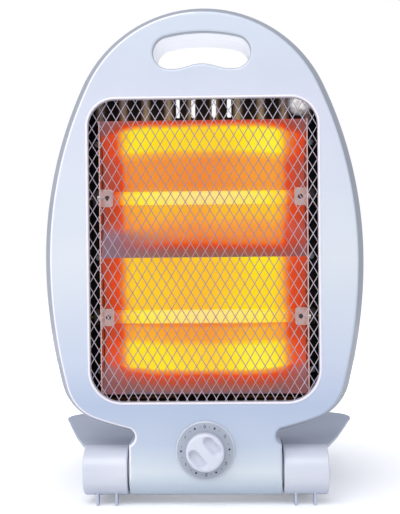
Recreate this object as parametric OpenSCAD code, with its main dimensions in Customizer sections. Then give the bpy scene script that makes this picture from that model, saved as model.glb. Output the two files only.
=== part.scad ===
// Small quartz radiant heater: an oval housing with a wire guard over two glowing tubes,
// which tilts on a low stand. Everything is drawn with the tilt axis along X at y = 0 and
// the floor at z = 0, and is then moved so that the origin lies under the middle.

/* [Housing outline] */
// Width of the housing at the seam between its covers
seam_w = 261.2; // [252:0.2:272]
// Height of the seam outline's top above the tilt axis
seam_top = 378.6; // [368:0.2:388]
// Height of the housing's widest level above the tilt axis
wide_level = 172.6; // [163:0.2:182]
// Height of the seam outline's lowest point above the tilt axis
seam_bottom = 25.3; // [24:0.1:27]
// How much smaller than half the width the radius of the round top is
seam_top_less = 21.6; // [17:0.1:28]
// Radius of the long curves below the widest level
seam_flank_r = 418; // [380:1:480]
// Radius of the two lower corners
seam_corner_r = 41; // [36:0.5:46]
// Radius of the shallow curve along the bottom
seam_bottom_r = 269; // [240:1:300]
// How far the flat face is narrower than the seam on each side
face_in_side = 6.8; // [5:0.1:11]
// How far the flat face is lower than the seam at the top
face_in_top = 7; // [5:0.1:10]
// How far the flat face is higher than the seam at the bottom
face_in_bottom = 5.1; // [4:0.1:7]
// Rounding of the edge round the flat face
face_edge_r = 2.2; // [1:0.1:3]
// Wall thickness of both covers
wall = 2.6; // [2.2:0.1:3]
// Distance of the seam behind the tilt axis
seam_back = 6; // [5.5:0.1:8]
// Distance of the rear cover's back behind the tilt axis
housing_back = 41; // [39:0.5:45]
// Width of the rounding round the rear cover's back
back_round_w = 16; // [12:0.5:18]
// Depth of the rounding round the rear cover's back
back_round_d = 18; // [12:0.5:22]

/* [Column] */
// Radius of the round barrel at the foot of the column, and of the foot blocks
barrel_r = 20.1; // [19.6:0.1:21]
// Gap between the barrel and the floor
barrel_lift = 6.9; // [6:0.1:12]
// Half of the column's width
column_half = 61.5; // [58:0.5:64]
// Radius of the round bite between the column and the housing
bite_r = 7.3; // [6:0.1:7.6]
// Height of the bite's centre above the tilt axis
bite_level = 30.8; // [30:0.1:32]
// How deep the bite cuts into the column
bite_depth = 4.9; // [3.5:0.1:6]
// Distance of the neck's back behind the tilt axis
neck_back = 17; // [16.5:0.1:18.5]

/* [Front opening] */
// Distance of the opening from the housing's widest point on each side
opening_in = 38.6; // [36:0.1:42]
// Height of the opening's lower edge above the tilt axis
opening_low = 58.8; // [57:0.5:62]
// Height of the opening's upper edge above the tilt axis
opening_high = 302; // [296:0.5:305]
// Radius of the opening's upper corners
opening_top_r = 22; // [18:0.5:26]
// Radius of the opening's lower corners
opening_low_r = 26; // [20:0.5:30]
// Thickness of the lip round the opening
lip_t = 2; // [1.6:0.1:3]
// Depth of the lip behind the flat face
lip_depth = 6; // [5:0.1:8]

/* [Handle] */
// Width of the handle hole
handle_w = 78; // [70:0.5:90]
// Radius of the handle hole's ends
handle_end_r = 13; // [12:0.1:14]
// Height of the hole's centre line above the tilt axis
handle_level = 338.9; // [336:0.1:342]
// Rise of the hole's arched top above its ends
handle_arch = 3; // [1:0.1:4]
// Rise of the wave in the hole's lower edge
handle_wave = 4.2; // [2:0.1:5]
// Wall of the sleeve through the handle
sleeve_t = 2; // [1.6:0.1:3]

/* [Guard] */
// Width of one diamond of the guard
diamond_w = 15.8; // [14.5:0.1:20]
// Height of one diamond of the guard
diamond_h = 26.6; // [24:0.1:32]
// Thickness of the guard's wires
wire_t = 1.2; // [0.8:0.1:1.8]
// How far the guard reaches behind the cover past the opening
guard_lap = 3.4; // [3:0.1:3.6]
// Width of the flat frame that holds the guard
frame_w = 11; // [10.8:0.1:11.4]
// Thickness of that frame
frame_t = 1; // [0.8:0.1:1.6]
// Diameter of the posts that the frame is screwed to
frame_post_d = 6.6; // [6:0.1:6.8]

/* [Reflector] */
// Distance of the side plates from the opening's sides
plate_in = 7.7; // [6.5:0.1:10]
// Height of each of the two troughs
trough_h = 109; // [104:0.5:112]
// Depth of the troughs
trough_d = 27; // [22:0.5:28]
// Height of the ridge between the troughs above the tilt axis
ridge_level = 174.8; // [171:0.2:178]
// Distance of the reflector's front edge in front of the tilt axis
reflector_front = 6; // [5:0.5:8]
// Thickness of the sheet metal
sheet_t = 0.8; // [0.6:0.1:1.2]
// Margin of the side plates round the troughs
plate_margin = 3; // [2:0.5:4]
// Width of the side plates' rear flanges
plate_flange = 10; // [9:0.5:11]

/* [Quartz tubes] */
// Outer diameter of the tubes
tube_d = 11; // [10:0.1:12]
// Wall thickness of the tubes
tube_wall = 1; // [0.8:0.1:1.4]
// Distance between the two tubes
tube_pitch = 98.2; // [94:0.2:102]
// Distance of the tubes behind the tilt axis
tube_back = 8; // [7.5:0.1:9]
// Outer diameter of the ceramic end caps
cap_d = 14; // [13.4:0.1:15]
// Length of the ceramic end caps
cap_len = 16; // [14:0.5:18]
// Part of each cap that stands inside the side plate
cap_inside = 8.3; // [7:0.1:9]
// Diameter of the wound heating coil
coil_d = 6.4; // [5.5:0.1:7]
// Length of the tubes' terminals
terminal_len = 7; // [6:0.5:7]
// Width of those terminals
blade_w = 6.4; // [5.6:0.1:6.8]
// Thickness of those terminals
blade_t = 1.2; // [1:0.1:1.4]
// Width of the brackets that hold the caps
bracket_w = 9.8; // [9:0.1:11]
// Height of those brackets
bracket_h = 14.4; // [13:0.1:16]

/* [Heat shield] */
// Distance of the heat shield behind the tilt axis
shield_back = 26; // [24.5:0.1:28]
// Reach of the heat shield past the opening's sides
shield_side = 4; // [3:0.1:5]
// Reach of the heat shield above the side plates
shield_over = 24; // [20:0.5:26]
// Reach of the heat shield below the side plates
shield_under = 12; // [10:0.5:12.5]

/* [Vents] */
// Width of a vent slot
vent_w = 3.6; // [2.5:0.1:5]
// Height of a vent slot
vent_h = 16; // [12:0.5:18]
// Spacing of the slots
vent_pitch = 13.1; // [12:0.1:15]
// Distance of the innermost slots from the middle
vent_first = 8.8; // [7:0.1:10]
// Slots on each side of the middle
vent_n = 5; // [3:1:5]
// Height of the top row's middle above the tilt axis
vent_top_level = 302.2; // [301:0.2:303]
// Height of the bottom row's middle above the tilt axis
vent_low_level = 60.2; // [59:0.2:62]
// Spacing of the rows
vent_row_pitch = 21; // [19:0.5:24]
// Rows of slots at the top
vent_rows = 3; // [1:1:4]

/* [Stand] */
// Gap between the column and each foot block
pivot_gap = 1.6; // [1.5:0.1:2.2]
// Width of each foot block
block_w = 36.4; // [34:0.2:40]
// Distance of the deck's rear edge behind the tilt axis
deck_back = 152; // [144:1:160]
// Half of the deck's greatest width
deck_half = 135; // [130:0.5:139]
// Radius of the deck's rear corners
deck_corner_r = 24; // [18:0.5:30]
// Thickness of the deck
deck_t = 3; // [2.4:0.1:4]
// Depth of the deck's recess behind the column
recess_back = 48; // [46:0.5:55]
// Half of that recess's width
recess_half = 50; // [45:0.5:52]
// Height of the wall round the recess
recess_wall_h = 12; // [8:0.5:15]
// Thickness of the floor ribs
rib_t = 2; // [1.8:0.1:2.6]
// Distance of the inner floor rib from the middle
rib_first = 72.8; // [71:0.2:75]
// Distance between the two ribs of a foot
rib_pitch = 15.5; // [14:0.5:17]
// Length of the small blade at the front of each rib
blade_len = 8; // [6:0.5:10]
// Wall thickness of the foot blocks
block_wall = 3.9; // [3.2:0.1:4.5]

/* [Pivot] */
// Diameter of the pivot bolts' shoulder
pivot_d = 10; // [9:0.1:11]
// Running gap round the pivot bolts
pivot_play = 0.08; // [0.05:0.01:0.1]
// Diameter of the bolt heads
pivot_head_d = 15; // [14:0.1:16]
// Thickness of the bolt heads
pivot_head_t = 4; // [3:0.1:5]
// Diameter of the thread that takes the nut
pivot_thread_d = 6; // [5:0.1:7]
// Thickness of the pivot nuts
pivot_nut_t = 4.5; // [4:0.1:6]
// Diameter of the friction washers
washer_d = 26; // [24:0.5:30]
// Diameter of the hole that the bolt goes in by
access_d = 17; // [16.5:0.1:19]
// Depth of the pivot boss inside the column
pivot_boss_len = 5; // [4:0.1:6]

/* [Dial and knob] */
// Height of the dial's centre above the tilt axis
dial_level = 20.2; // [19.5:0.1:21]
// Diameter of the dial ring
ring_d = 47.6; // [45:0.2:49]
// Thickness of the dial ring
ring_t = 2.2; // [1.8:0.1:3]
// Diameter of the knob
knob_d = 30.6; // [29:0.2:33]
// Height of the knob
knob_h = 10; // [9:0.5:14]
// Width of the knob's grip bar
grip_w = 8.4; // [7:0.1:9]
// Depth of the two finger hollows beside the grip
grip_depth = 5; // [3:0.5:5.5]
// Angle of the grip bar from upright
grip_angle = 42; // [30:1:60]
// Diameter of the switch shaft
shaft_d = 6; // [5.5:0.1:6.5]

/* [Switches] */
// Width of the rotary switch
switch_w = 28; // [26:0.5:30]
// Height of the rotary switch
switch_h = 24; // [22:0.5:25]
// Depth of the rotary switch
switch_depth = 18; // [16:0.5:20]
// Diameter of the threaded neck of the switch
neck_d = 9.6; // [9:0.1:10.4]
// Width of the tilt switch's case
tilt_w = 17; // [16:0.5:18]
// Height of the tilt switch's case
tilt_h = 30; // [29:0.5:31]
// Depth of the tilt switch's case
tilt_depth = 24; // [23:0.5:25]
// Distance of the tilt switch's middle from the housing's middle
tilt_at = 37.5; // [37:0.5:38.5]
// Wall thickness of the tilt switch's case
tilt_wall = 1.4; // [1.2:0.1:1.8]
// Distance from the pendulum's pin to the middle of its weight
swing_len = 14; // [12:0.5:15]
// Diameter of the pendulum's weight
swing_d = 8; // [7:0.1:8.4]

/* [Fasteners and wiring] */
// Diameter of the cover screws
cover_screw_d = 3; // [2.8:0.1:3.4]
// Diameter of the cover screws' heads
cover_head_d = 6.4; // [6:0.1:7]
// Diameter of the front posts that take the cover screws
front_post_d = 7.6; // [7:0.1:8.4]
// Diameter of the rear posts that the cover screws pass through
rear_post_d = 10.4; // [10:0.1:11]
// Diameter of the small sheet metal screws
small_screw_d = 2.4; // [2.2:0.1:2.8]
// Diameter of the small screws' heads
small_head_d = 5; // [4.6:0.1:5.4]
// Thickness of the small screws' heads
small_head_t = 1.6; // [1.2:0.1:1.8]
// How far the small screws reach into the piece that holds them
small_grip = 3; // [2.5:0.1:3.2]
// Length of the screws that hold the heat shield
shield_screw_len = 8; // [6:0.1:8.4]
// Diameter of the inner wires
lead_d = 2.4; // [2:0.1:2.8]
// Spacing kept round the inner wires
lead_apart = 4; // [3.8:0.1:4.2]
// Distance from the middle at which the inner wires rise out of the column
lead_spread = 26; // [25:0.1:27]
// Height of that point above the tilt axis
lead_rise = 52.8; // [52:0.1:54]
// Distance of the cord gland from the middle
gland_x = 78; // [76:0.5:80]
// Height of the cord gland above the tilt axis
gland_level = 64.8; // [64:0.1:66]
// Distance of the terminal block from the middle
block_at = 26; // [25:0.1:27]
// Height of the terminal block above the tilt axis
block_level = 44.3; // [44:0.1:45]
// Width of the terminal block
terminal_w = 26; // [24:0.1:26]
// Height of the terminal block
terminal_h = 9; // [8:0.1:9]
// Depth of the terminal block
terminal_depth = 11; // [10:0.1:11]
// Length of the posts behind the terminal block
terminal_post = 2.4; // [2.3:0.1:3]
// Diameter of the cord gland's bore
gland_bore = 7; // [6:0.1:8]
// Diameter of the cord gland's body
gland_d = 12; // [11:0.1:13]

/* [Hidden] */
$fn = 64;

// Gap kept between pieces that move past each other
gap = 0.3;
// Tiny overlap that makes a cut pass a surface
cut = 1;

seam_top_r = seam_w / 2 - seam_top_less;
opening_w = seam_w - 2 * opening_in;
reflector_w = opening_w - 2 * plate_in;
shield_w = opening_w + 2 * shield_side;
axis_z = barrel_lift + barrel_r;
face_y = -barrel_r;
face_in_y = face_y + wall;
column_in = column_half - wall;
neck_half = column_half - bite_depth;
block_in = column_half + pivot_gap;
block_out = block_in + block_w;
deck_top = axis_z + barrel_r;

// How far the housing tilts back, and the deck's front edge that stays clear of its neck
tilt_back = 15;
deck_front = neck_back / cos(tilt_back) + barrel_r * tan(tilt_back) + 2 * gap;

ring_front = face_y - ring_t;
knob_back = ring_front - gap;
knob_front = knob_back - knob_h;
front_reach = -knob_front;
axis_y = (front_reach - deck_back) / 2;

module place() translate([0, axis_y, 0]) children();

// A flat drawing in X and Z made solid from y0 back to y1
module along_y(y0, y1) translate([0, y1, 0]) rotate([90, 0, 0]) linear_extrude(y1 - y0) children();

// A flat drawing in Y and Z made solid from x0 to x1
module along_x(x0, x1) translate([x0, 0, 0]) rotate([90, 0, 90]) linear_extrude(x1 - x0) children();

// A box between two corners
module box(low, high) translate(low) cube(high - low);

// A round bar along Y or along X
module rod_y(x, z, y0, y1, d) translate([x, y0, z]) rotate([-90, 0, 0]) cylinder(d = d, h = y1 - y0);
module rod_x(y, z, x0, x1, d) translate([x0, y, z]) rotate([0, 90, 0]) cylinder(d = d, h = x1 - x0);

// The same on both sides of the middle
module both_sides() {
    children();
    mirror([1, 0, 0]) children();
}

// Points along an arc
function arc(c, r, from, to, n) =
    [for (i = [0:n]) let (a = from + (to - from) * i / n) [c[0] + r * cos(a), c[1] + r * sin(a)]];
function flip(points) = [for (i = [len(points) - 1:-1:0]) [-points[i][0], points[i][1]]];

// Where two circles cross, on the side to the right of the line from a to b
function crossing(a, ra, b, rb) =
    let (d = norm(b - a), u = (b - a) / d, t = (ra * ra - rb * rb + d * d) / (2 * d))
    a + t * u + sqrt(ra * ra - t * t) * [u[1], -u[0]];

// The oval outline drawn with arcs that run into each other: half width, top, bottom and radii
function oval(half, top, bottom, top_r, flank_r, corner_r, bottom_r) =
    let (
        wide = axis_z + wide_level,
        rise = top - top_r - wide,
        side_r = (half * half + rise * rise - top_r * top_r) / (2 * (half - top_r)),
        top_end = atan2(rise, side_r - half),
        flank_c = [half - flank_r, wide],
        bottom_c = [0, bottom + bottom_r],
        corner_c = crossing(flank_c, flank_r - corner_r, bottom_c, bottom_r - corner_r),
        flank_end = atan2(corner_c[1] - flank_c[1], corner_c[0] - flank_c[0]),
        corner_end = atan2(corner_c[1] - bottom_c[1], corner_c[0] - bottom_c[0]),
        right = concat(
            arc([0, top - top_r], top_r, 90, top_end, 12),
            arc([half - side_r, wide], side_r, top_end * 5 / 6, 0, 5),
            arc(flank_c, flank_r, flank_end / 4, flank_end, 3),
            arc(corner_c, corner_r, flank_end + (corner_end - flank_end) / 7, corner_end, 6),
            arc(bottom_c, bottom_r, corner_end + (-90 - corner_end) / 4, -90, 3)))
    concat(right, [for (p = flip(right)) if (abs(p[0]) > 0.01) p]);

function seam(inset) = oval(seam_w / 2 - inset, axis_z + seam_top - inset, axis_z + seam_bottom + inset,
    seam_top_r - inset, seam_flank_r - inset, seam_corner_r - inset, seam_bottom_r - inset);
function face(inset) = oval(seam_w / 2 - face_in_side - inset, axis_z + seam_top - face_in_top - inset,
    axis_z + seam_bottom + face_in_bottom + inset, seam_top_r - face_in_top - inset,
    seam_flank_r - face_in_side - inset, seam_corner_r - face_in_bottom - inset,
    seam_bottom_r - face_in_bottom - inset);

// The front shell's shape, drawn in by an inset
module front_form(inset) {
    slice = 0.5;
    reach = seam_back + (inset > 0 ? cut : 0);
    hull() {
        along_y(face_y + inset, face_y + inset + slice) polygon(face(inset + face_edge_r * 0.7));
        along_y(face_y + inset + face_edge_r * 0.4, face_y + inset + face_edge_r * 0.4 + slice)
            polygon(face(inset + face_edge_r * 0.2));
        along_y(face_y + inset + face_edge_r, face_y + inset + face_edge_r + slice) polygon(face(inset));
        along_y(seam_back - 4, reach) polygon(seam(inset));
    }
}

// The rear shell's shape, drawn in by an inset
module rear_form(inset) {
    slice = 0.4;
    steps = 4;
    depth = back_round_d - inset / 2;
    reach = housing_back - inset;
    hull() {
        along_y(seam_back - (inset > 0 ? cut : 0), reach - depth) polygon(seam(inset));
        for (i = [1:steps]) let (a = 90 * i / steps, y = reach - depth + depth * sin(a))
            along_y(y - slice, y) polygon(seam(inset + back_round_w * (1 - cos(a))));
    }
}

// The column as seen from the side, and the bites that part it from the oval
module column_side(inset) {
    translate([0, axis_z]) circle(r = barrel_r - inset, $fn = 96);
    translate([face_y + inset, axis_z]) square([neck_back - inset - face_y - inset, opening_low - 12]);
}
module column_form() difference() {
    along_x(-column_half, column_half) column_side(0);
    both_sides() rod_y(neck_half + bite_r, axis_z + bite_level, -50, 50, 2 * bite_r);
}
module column_hollow() {
    along_x(-column_in, column_in) translate([0, axis_z]) circle(r = barrel_r - wall, $fn = 96);
    intersection() {
        along_x(-neck_half + wall, neck_half - wall) column_side(wall);
        box([-100, -50, axis_z], [100, 50, axis_z + opening_low - 12]);
    }
}
module behind_seam() box([-200, seam_back, -1], [200, 100, 500]);
module before_seam() box([-200, -100, -1], [200, seam_back, 500]);

// The guard opening and the handle hole, grown by a margin
module opening_shape(grow) {
    half = opening_w / 2 + grow;
    low = axis_z + opening_low - grow;
    high = axis_z + opening_high + grow;
    r_low = opening_low_r + grow;
    r_top = opening_top_r + grow;
    translate([-half, low + r_low]) square([2 * half, high - low - r_low - r_top]);
    translate([-half + r_low, low]) square([2 * (half - r_low), r_low + 1]);
    translate([-half + r_top, high - r_top - 1]) square([2 * (half - r_top), r_top + 1]);
    for (s = [-1, 1]) {
        translate([s * (half - r_low), low + r_low]) circle(r = r_low);
        translate([s * (half - r_top), high - r_top]) circle(r = r_top);
    }
}
module handle_shape(grow) {
    r = handle_end_r + grow;
    mid = axis_z + handle_level;
    span = handle_w / 2 - handle_end_r;
    arch_c = (span * span - handle_arch * handle_arch) / (2 * handle_arch);
    tangent = atan2(arch_c, span);
    right = concat(
        [for (i = [0:7]) [span * i / 8, mid - r + handle_wave * (1 + cos(180 * min(1, i / 7))) / 2]],
        arc([span, mid], r, -90, tangent, 12),
        arc([0, mid - arch_c], arch_c + r + handle_arch, tangent + (90 - tangent) / 4, 90, 3));
    polygon(concat(right, [for (p = flip(right)) if (abs(p[0]) > 0.01) p]));
}

// Places of the posts and screws that hold the covers together
side_post_x = opening_w / 2 + frame_w + front_post_d / 2 + 2.2;
side_post_pitch = 50;
top_post_x = 58;
low_post_x = 50;
column_post_x = 22;
seat_y = 20;
column_seat_y = 12;
cover_posts = [
    [side_post_x, axis_z + wide_level - side_post_pitch / 2, seat_y],
    [side_post_x, axis_z + wide_level + side_post_pitch / 2, seat_y],
    [top_post_x, axis_z + opening_high + frame_w + rear_post_d + 2, seat_y],
    [low_post_x, axis_z + opening_low - frame_w - front_post_d / 2 - 1.8, seat_y],
    [column_post_x, axis_z - 3, column_seat_y]];
module at_posts() for (p = cover_posts) both_sides() translate([p[0], 0, p[1]]) children();
module at_seats() for (p = cover_posts) both_sides() translate([p[0], p[2], p[1]]) children();

// Places of the guard's screws round the opening
frame_mid = frame_w - frame_post_d / 2 - 0.6;
frame_points = [
    [opening_w / 2 + frame_mid, axis_z + opening_low + 50],
    [opening_w / 2 + frame_mid, axis_z + opening_high - 60],
    [opening_w / 2 - 45, axis_z + opening_high + frame_mid],
    [opening_w / 2 - 45, axis_z + opening_low - frame_mid]];
module at_frame_points() for (p = frame_points) both_sides() translate([p[0], 0, p[1]]) children();

guard_y = face_y + lip_depth;
frame_y = guard_y + wire_t;

ridge_z = axis_z + ridge_level;
tube_z = [ridge_z + tube_pitch / 2, ridge_z - tube_pitch / 2];
plate_x = reflector_w / 2;
plate_low = ridge_z - trough_h - plate_margin;
plate_high = ridge_z + trough_h + plate_margin;
shield_low = plate_low - shield_under;
shield_high = plate_high + shield_over;
back_in = housing_back - wall;
shield_points = [for (z = [plate_low + 16, ridge_z, plate_high - 16]) [plate_x + plate_flange / 2 + 0.6, z]];
module at_shield_points() for (p = shield_points) both_sides() translate([p[0], 0, p[1]]) children();

// A screw along Y with its head in front and its point behind, or the other way round
module screw_y(d, head_d, head_t, len) {
    rod_y(0, 0, 0, len, d);
    rod_y(0, 0, -head_t, 0, head_d);
}

module front_cover() place() color("aliceblue") difference() {
    union() {
        front_form(0);
        intersection() {
            column_form();
            before_seam();
        }
        rod_y(0, axis_z + dial_level, face_y, face_in_y, ring_d + 2.4);
        both_sides() rod_x(0, axis_z, column_half - pivot_boss_len, column_half, pivot_d + 9);
    }
    difference() {
        union() {
            front_form(wall);
            intersection() {
                column_hollow();
                before_seam_cut();
            }
        }
        along_y(face_in_y - cut, guard_y) difference() {
            opening_shape(lip_t);
            opening_shape(0);
        }
        along_y(face_in_y - cut, seam_back) difference() {
            handle_shape(sleeve_t);
            handle_shape(0);
        }
        at_posts() rod_y(0, 0, face_in_y - cut, seam_back, front_post_d);
        at_frame_points() rod_y(0, 0, face_in_y - cut, frame_y, frame_post_d);
        rod_y(0, axis_z + dial_level, face_y, face_in_y, ring_d + 2.4);
        both_sides() rod_x(0, axis_z, column_half - pivot_boss_len, column_half, pivot_d + 9);
        tilt_post();
    }
    along_y(face_y - cut, face_in_y + cut) opening_shape(0);
    along_y(face_y - cut, seam_back + cut) handle_shape(0);
    at_posts() rod_y(0, 0, face_in_y + 2, seam_back + cut, cover_screw_d);
    at_frame_points() rod_y(0, 0, frame_y - small_grip - 0.5, frame_y + cut, small_screw_d);
    rod_y(0, axis_z + dial_level, face_y - cut, face_in_y + cut, neck_d);
    both_sides() rod_x(0, axis_z, column_half - pivot_boss_len - cut, column_half + cut,
        pivot_d + 2 * pivot_play);
    rod_y(-tilt_at, tilt_screw_z, -tilt_depth / 2 - small_grip - 1, -tilt_depth / 2 + cut, small_screw_d);
}
module before_seam_cut() box([-200, -100, -1], [200, seam_back + cut, 500]);

module rear_cover() place() color("lavender") difference() {
    union() {
        rear_form(0);
        intersection() {
            column_form();
            behind_seam();
        }
    }
    difference() {
        union() {
            rear_form(wall);
            intersection() {
                column_hollow();
                box([-200, seam_back - cut, -1], [200, 100, 500]);
            }
        }
        along_y(seam_back, back_in + cut) difference() {
            handle_shape(sleeve_t);
            handle_shape(0);
        }
        at_posts() rod_y(0, 0, seam_back, back_in + cut, rear_post_d);
        at_shield_points() rod_y(0, 0, shield_back + sheet_t, back_in + cut, front_post_d);
        terminal_posts();
    }
    along_y(seam_back - cut, housing_back + cut) handle_shape(0);
    at_posts() rod_y(0, 0, seam_back - cut, housing_back + cut, cover_screw_d + 0.6);
    at_seats() rod_y(0, 0, 0, housing_back, cover_head_d + 0.8);
    at_shield_points() rod_y(0, 0, shield_back, shield_back + shield_screw_len + 1, small_screw_d);
    vents(back_in - 2, housing_back + cut, vent_n);
    rod_y(gland_x, gland_z, back_in - 2, housing_back + cut, gland_d);
    both_sides() rod_x(0, axis_z, column_half - pivot_boss_len - cut, column_half + cut,
        pivot_d + 9 + 2 * gap);
}

// Upright slots in rows at the top and at the bottom
module vents(y0, y1, n) {
    for (i = [0:n - 1], s = [-1, 1]) {
        x = s * (vent_first + i * vent_pitch);
        for (row = [0:vent_rows - 1]) let (z = axis_z + vent_top_level - row * vent_row_pitch)
            box([x - vent_w / 2, y0, z - vent_h / 2], [x + vent_w / 2, y1, z + vent_h / 2]);
        let (z = axis_z + vent_low_level)
            box([x - vent_w / 2, y0, z - vent_h / 2], [x + vent_w / 2, y1, z + vent_h / 2]);
    }
}

module cover_screws() place() color("dimgray") at_seats()
    mirror([0, 1, 0]) screw_y(cover_screw_d, cover_head_d, 2.4, column_seat_y + 8);

module guard_mesh() place() color("gainsboro") along_y(guard_y, frame_y) difference() {
    opening_shape(guard_lap);
    intersection() {
        opening_shape(-wire_t / 2);
        diamonds();
    }
}
module diamonds() {
    cols = ceil(opening_w / diamond_w);
    rows = ceil((opening_high - opening_low) / diamond_h);
    mid = axis_z + (opening_low + opening_high) / 2;
    a = diamond_w / 2 - wire_t * 0.6;
    b = a * diamond_h / diamond_w;
    for (i = [-cols:cols], j = [-rows:rows]) if ((i + j) % 2 == 0)
        translate([i * diamond_w / 2, mid + j * diamond_h / 2]) polygon([[-a, 0], [0, -b], [a, 0], [0, b]]);
}

module guard_frame() place() color("dimgray") difference() {
    along_y(frame_y, frame_y + frame_t) difference() {
        intersection() {
            opening_shape(frame_w);
            polygon(face(wall + 2 * gap));
        }
        opening_shape(lip_t);
    }
    at_frame_points() rod_y(0, 0, frame_y - cut, frame_y + frame_t + cut, small_screw_d);
}
module guard_screws() place() color("silver") at_frame_points() translate([0, frame_y + frame_t, 0])
    mirror([0, 1, 0]) screw_y(small_screw_d, small_head_d, small_head_t, frame_t + small_grip);

// The curve of one trough as seen from the side
trough_r = (trough_h * trough_h / 4 + trough_d * trough_d) / (2 * trough_d);
module trough_side(side) {
    mid = ridge_z + side * trough_h / 2;
    intersection() {
        translate([trough_d - reflector_front - trough_r, mid]) difference() {
            circle(r = trough_r + sheet_t, $fn = 192);
            circle(r = trough_r, $fn = 192);
        }
        translate([-reflector_front, mid - trough_h / 2]) square([trough_d + 5, trough_h]);
    }
}
module reflector() place() color("silver") along_x(-plate_x, plate_x) {
    trough_side(1);
    trough_side(-1);
    translate([-reflector_front, ridge_z - sheet_t]) square([sheet_t * 1.5, 2 * sheet_t]);
    for (s = [-1, 1]) translate([-reflector_front, ridge_z + s * (trough_h + plate_margin / 2 - 0.2) - plate_margin / 2])
        square([sheet_t, plate_margin]);
}

module side_plates() place() color("gray") difference() {
    both_sides() {
        box([plate_x, -reflector_front, plate_low], [plate_x + sheet_t, shield_back, plate_high]);
        box([plate_x, shield_back - sheet_t, plate_low], [plate_x + plate_flange, shield_back, plate_high]);
    }
    for (z = tube_z) {
        both_sides() rod_x(tube_back, z, plate_x - cut, plate_x + sheet_t + cut, cap_d);
        both_sides() rod_x(bracket_screw_y, z, plate_x - cut, plate_x + sheet_t + cut, small_screw_d);
    }
    at_shield_points() rod_y(0, 0, shield_back - 2, shield_back + 1, small_screw_d);
}

module heat_shield() place() color("dimgray") difference() {
    box([-shield_w / 2, shield_back, shield_low], [shield_w / 2, shield_back + sheet_t, shield_high]);
    at_shield_points() rod_y(0, 0, shield_back - 2, shield_back + 3, small_screw_d);
    for (i = [0:1], s = [-1, 1]) let (x = s * (vent_first + i * vent_pitch), z = axis_z + vent_top_level)
        box([x - vent_w / 2, shield_back - cut, plate_high + 2],
            [x + vent_w / 2, shield_back + 3, shield_high - 2]);
}
module shield_screws() place() color("silver") at_shield_points()
    translate([0, shield_back - sheet_t, 0]) screw_y(small_screw_d, small_head_d, small_head_t, shield_screw_len);

cap_in = plate_x - cap_inside;
cap_out = cap_in + cap_len;
module quartz_tube(z) place() color([1, 0.85, 0.5, 0.6]) difference() {
    rod_x(tube_back, z, -plate_x, plate_x, tube_d);
    rod_x(tube_back, z, -plate_x - cut, plate_x + cut, tube_d - 2 * tube_wall);
}
// The winding as the smooth bar that its turns fill, with its two straight ends
pin_d = 1.6;
module heating_coil(z) place() color("orange") {
    rod_x(tube_back, z, -cap_in + 3, cap_in - 3, coil_d);
    rod_x(tube_back, z, -cap_out, cap_out, pin_d);
}
module ceramic_caps() place() color("ivory") for (z = tube_z) both_sides() difference() {
    rod_x(tube_back, z, cap_in, cap_out, cap_d);
    rod_x(tube_back, z, cap_in - cut, plate_x, tube_d);
    rod_x(tube_back, z, plate_x - cut, cap_out + cut, pin_d);
}
module tube_terminals() place() color("gold") for (z = tube_z) both_sides()
    box([cap_out, tube_back - blade_w / 2, z - blade_t / 2],
        [cap_out + terminal_len, tube_back + blade_w / 2, z + blade_t / 2]);

bracket_screw_y = -2.6;
cap_front = tube_back - cap_d / 2;
module tube_brackets() place() color("darkkhaki") for (z = tube_z) both_sides() difference() {
    union() {
        box([plate_x - bracket_w, cap_front - sheet_t, z - bracket_h / 2],
            [plate_x, cap_front, z + bracket_h / 2]);
        box([plate_x - sheet_t, -reflector_front + 0.4, z - bracket_h / 2],
            [plate_x, cap_front, z + bracket_h / 2]);
    }
    rod_y(plate_x - bracket_w / 2, z, cap_front - 3, cap_front + 1, 4.2);
    rod_x(bracket_screw_y, z, plate_x - 3, plate_x + 1, small_screw_d);
}
module bracket_screws() place() color("silver") for (z = tube_z) both_sides() {
    rod_x(bracket_screw_y, z, plate_x - sheet_t - 1, plate_x + sheet_t, small_screw_d);
    rod_x(bracket_screw_y, z, plate_x + sheet_t, plate_x + sheet_t + small_head_t, small_head_d);
}

module dial_ring() place() color("lightsteelblue") difference() {
    rod_y(0, axis_z + dial_level, ring_front, face_y, ring_d);
    rod_y(0, axis_z + dial_level, ring_front - cut, face_y + cut, nut_d + 2);
}
nut_d = 15;
nut_t = 1.8;
switch_y = face_in_y;
tab_x = 9;
tab_z = 6;
tab_len = 6;
module rotary_switch() place() color("dimgray") difference() {
    union() {
        box([-switch_w / 2, switch_y, axis_z + dial_level - switch_h / 2],
            [switch_w / 2, switch_y + switch_depth, axis_z + dial_level + switch_h / 2]);
        rod_y(0, axis_z + dial_level, face_y - nut_t, switch_y + cut, neck_d);
        for (s = [-1, 1], t = [-1, 1]) let (z = axis_z + dial_level + t * tab_z)
            box([s * tab_x - 0.4, switch_y + switch_depth, z - 2.4],
                [s * tab_x + 0.4, switch_y + switch_depth + tab_len, z + 2.4]);
    }
    rod_y(0, axis_z + dial_level, face_y - nut_t - cut, shaft_end + gap, shaft_d + 2 * pivot_play);
}
shaft_end = switch_y + switch_depth - 4;
shaft_in = 3;
module switch_nut() place() color("silver") difference() {
    translate([0, face_y, axis_z + dial_level]) rotate([90, 0, 0]) cylinder(d = nut_d, h = nut_t, $fn = 6);
    rod_y(0, axis_z + dial_level, face_y - nut_t - cut, face_y + cut, neck_d);
}
module switch_shaft() place() color("silver")
    rod_y(0, axis_z + dial_level, knob_front + shaft_in, shaft_end, shaft_d);

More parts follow.
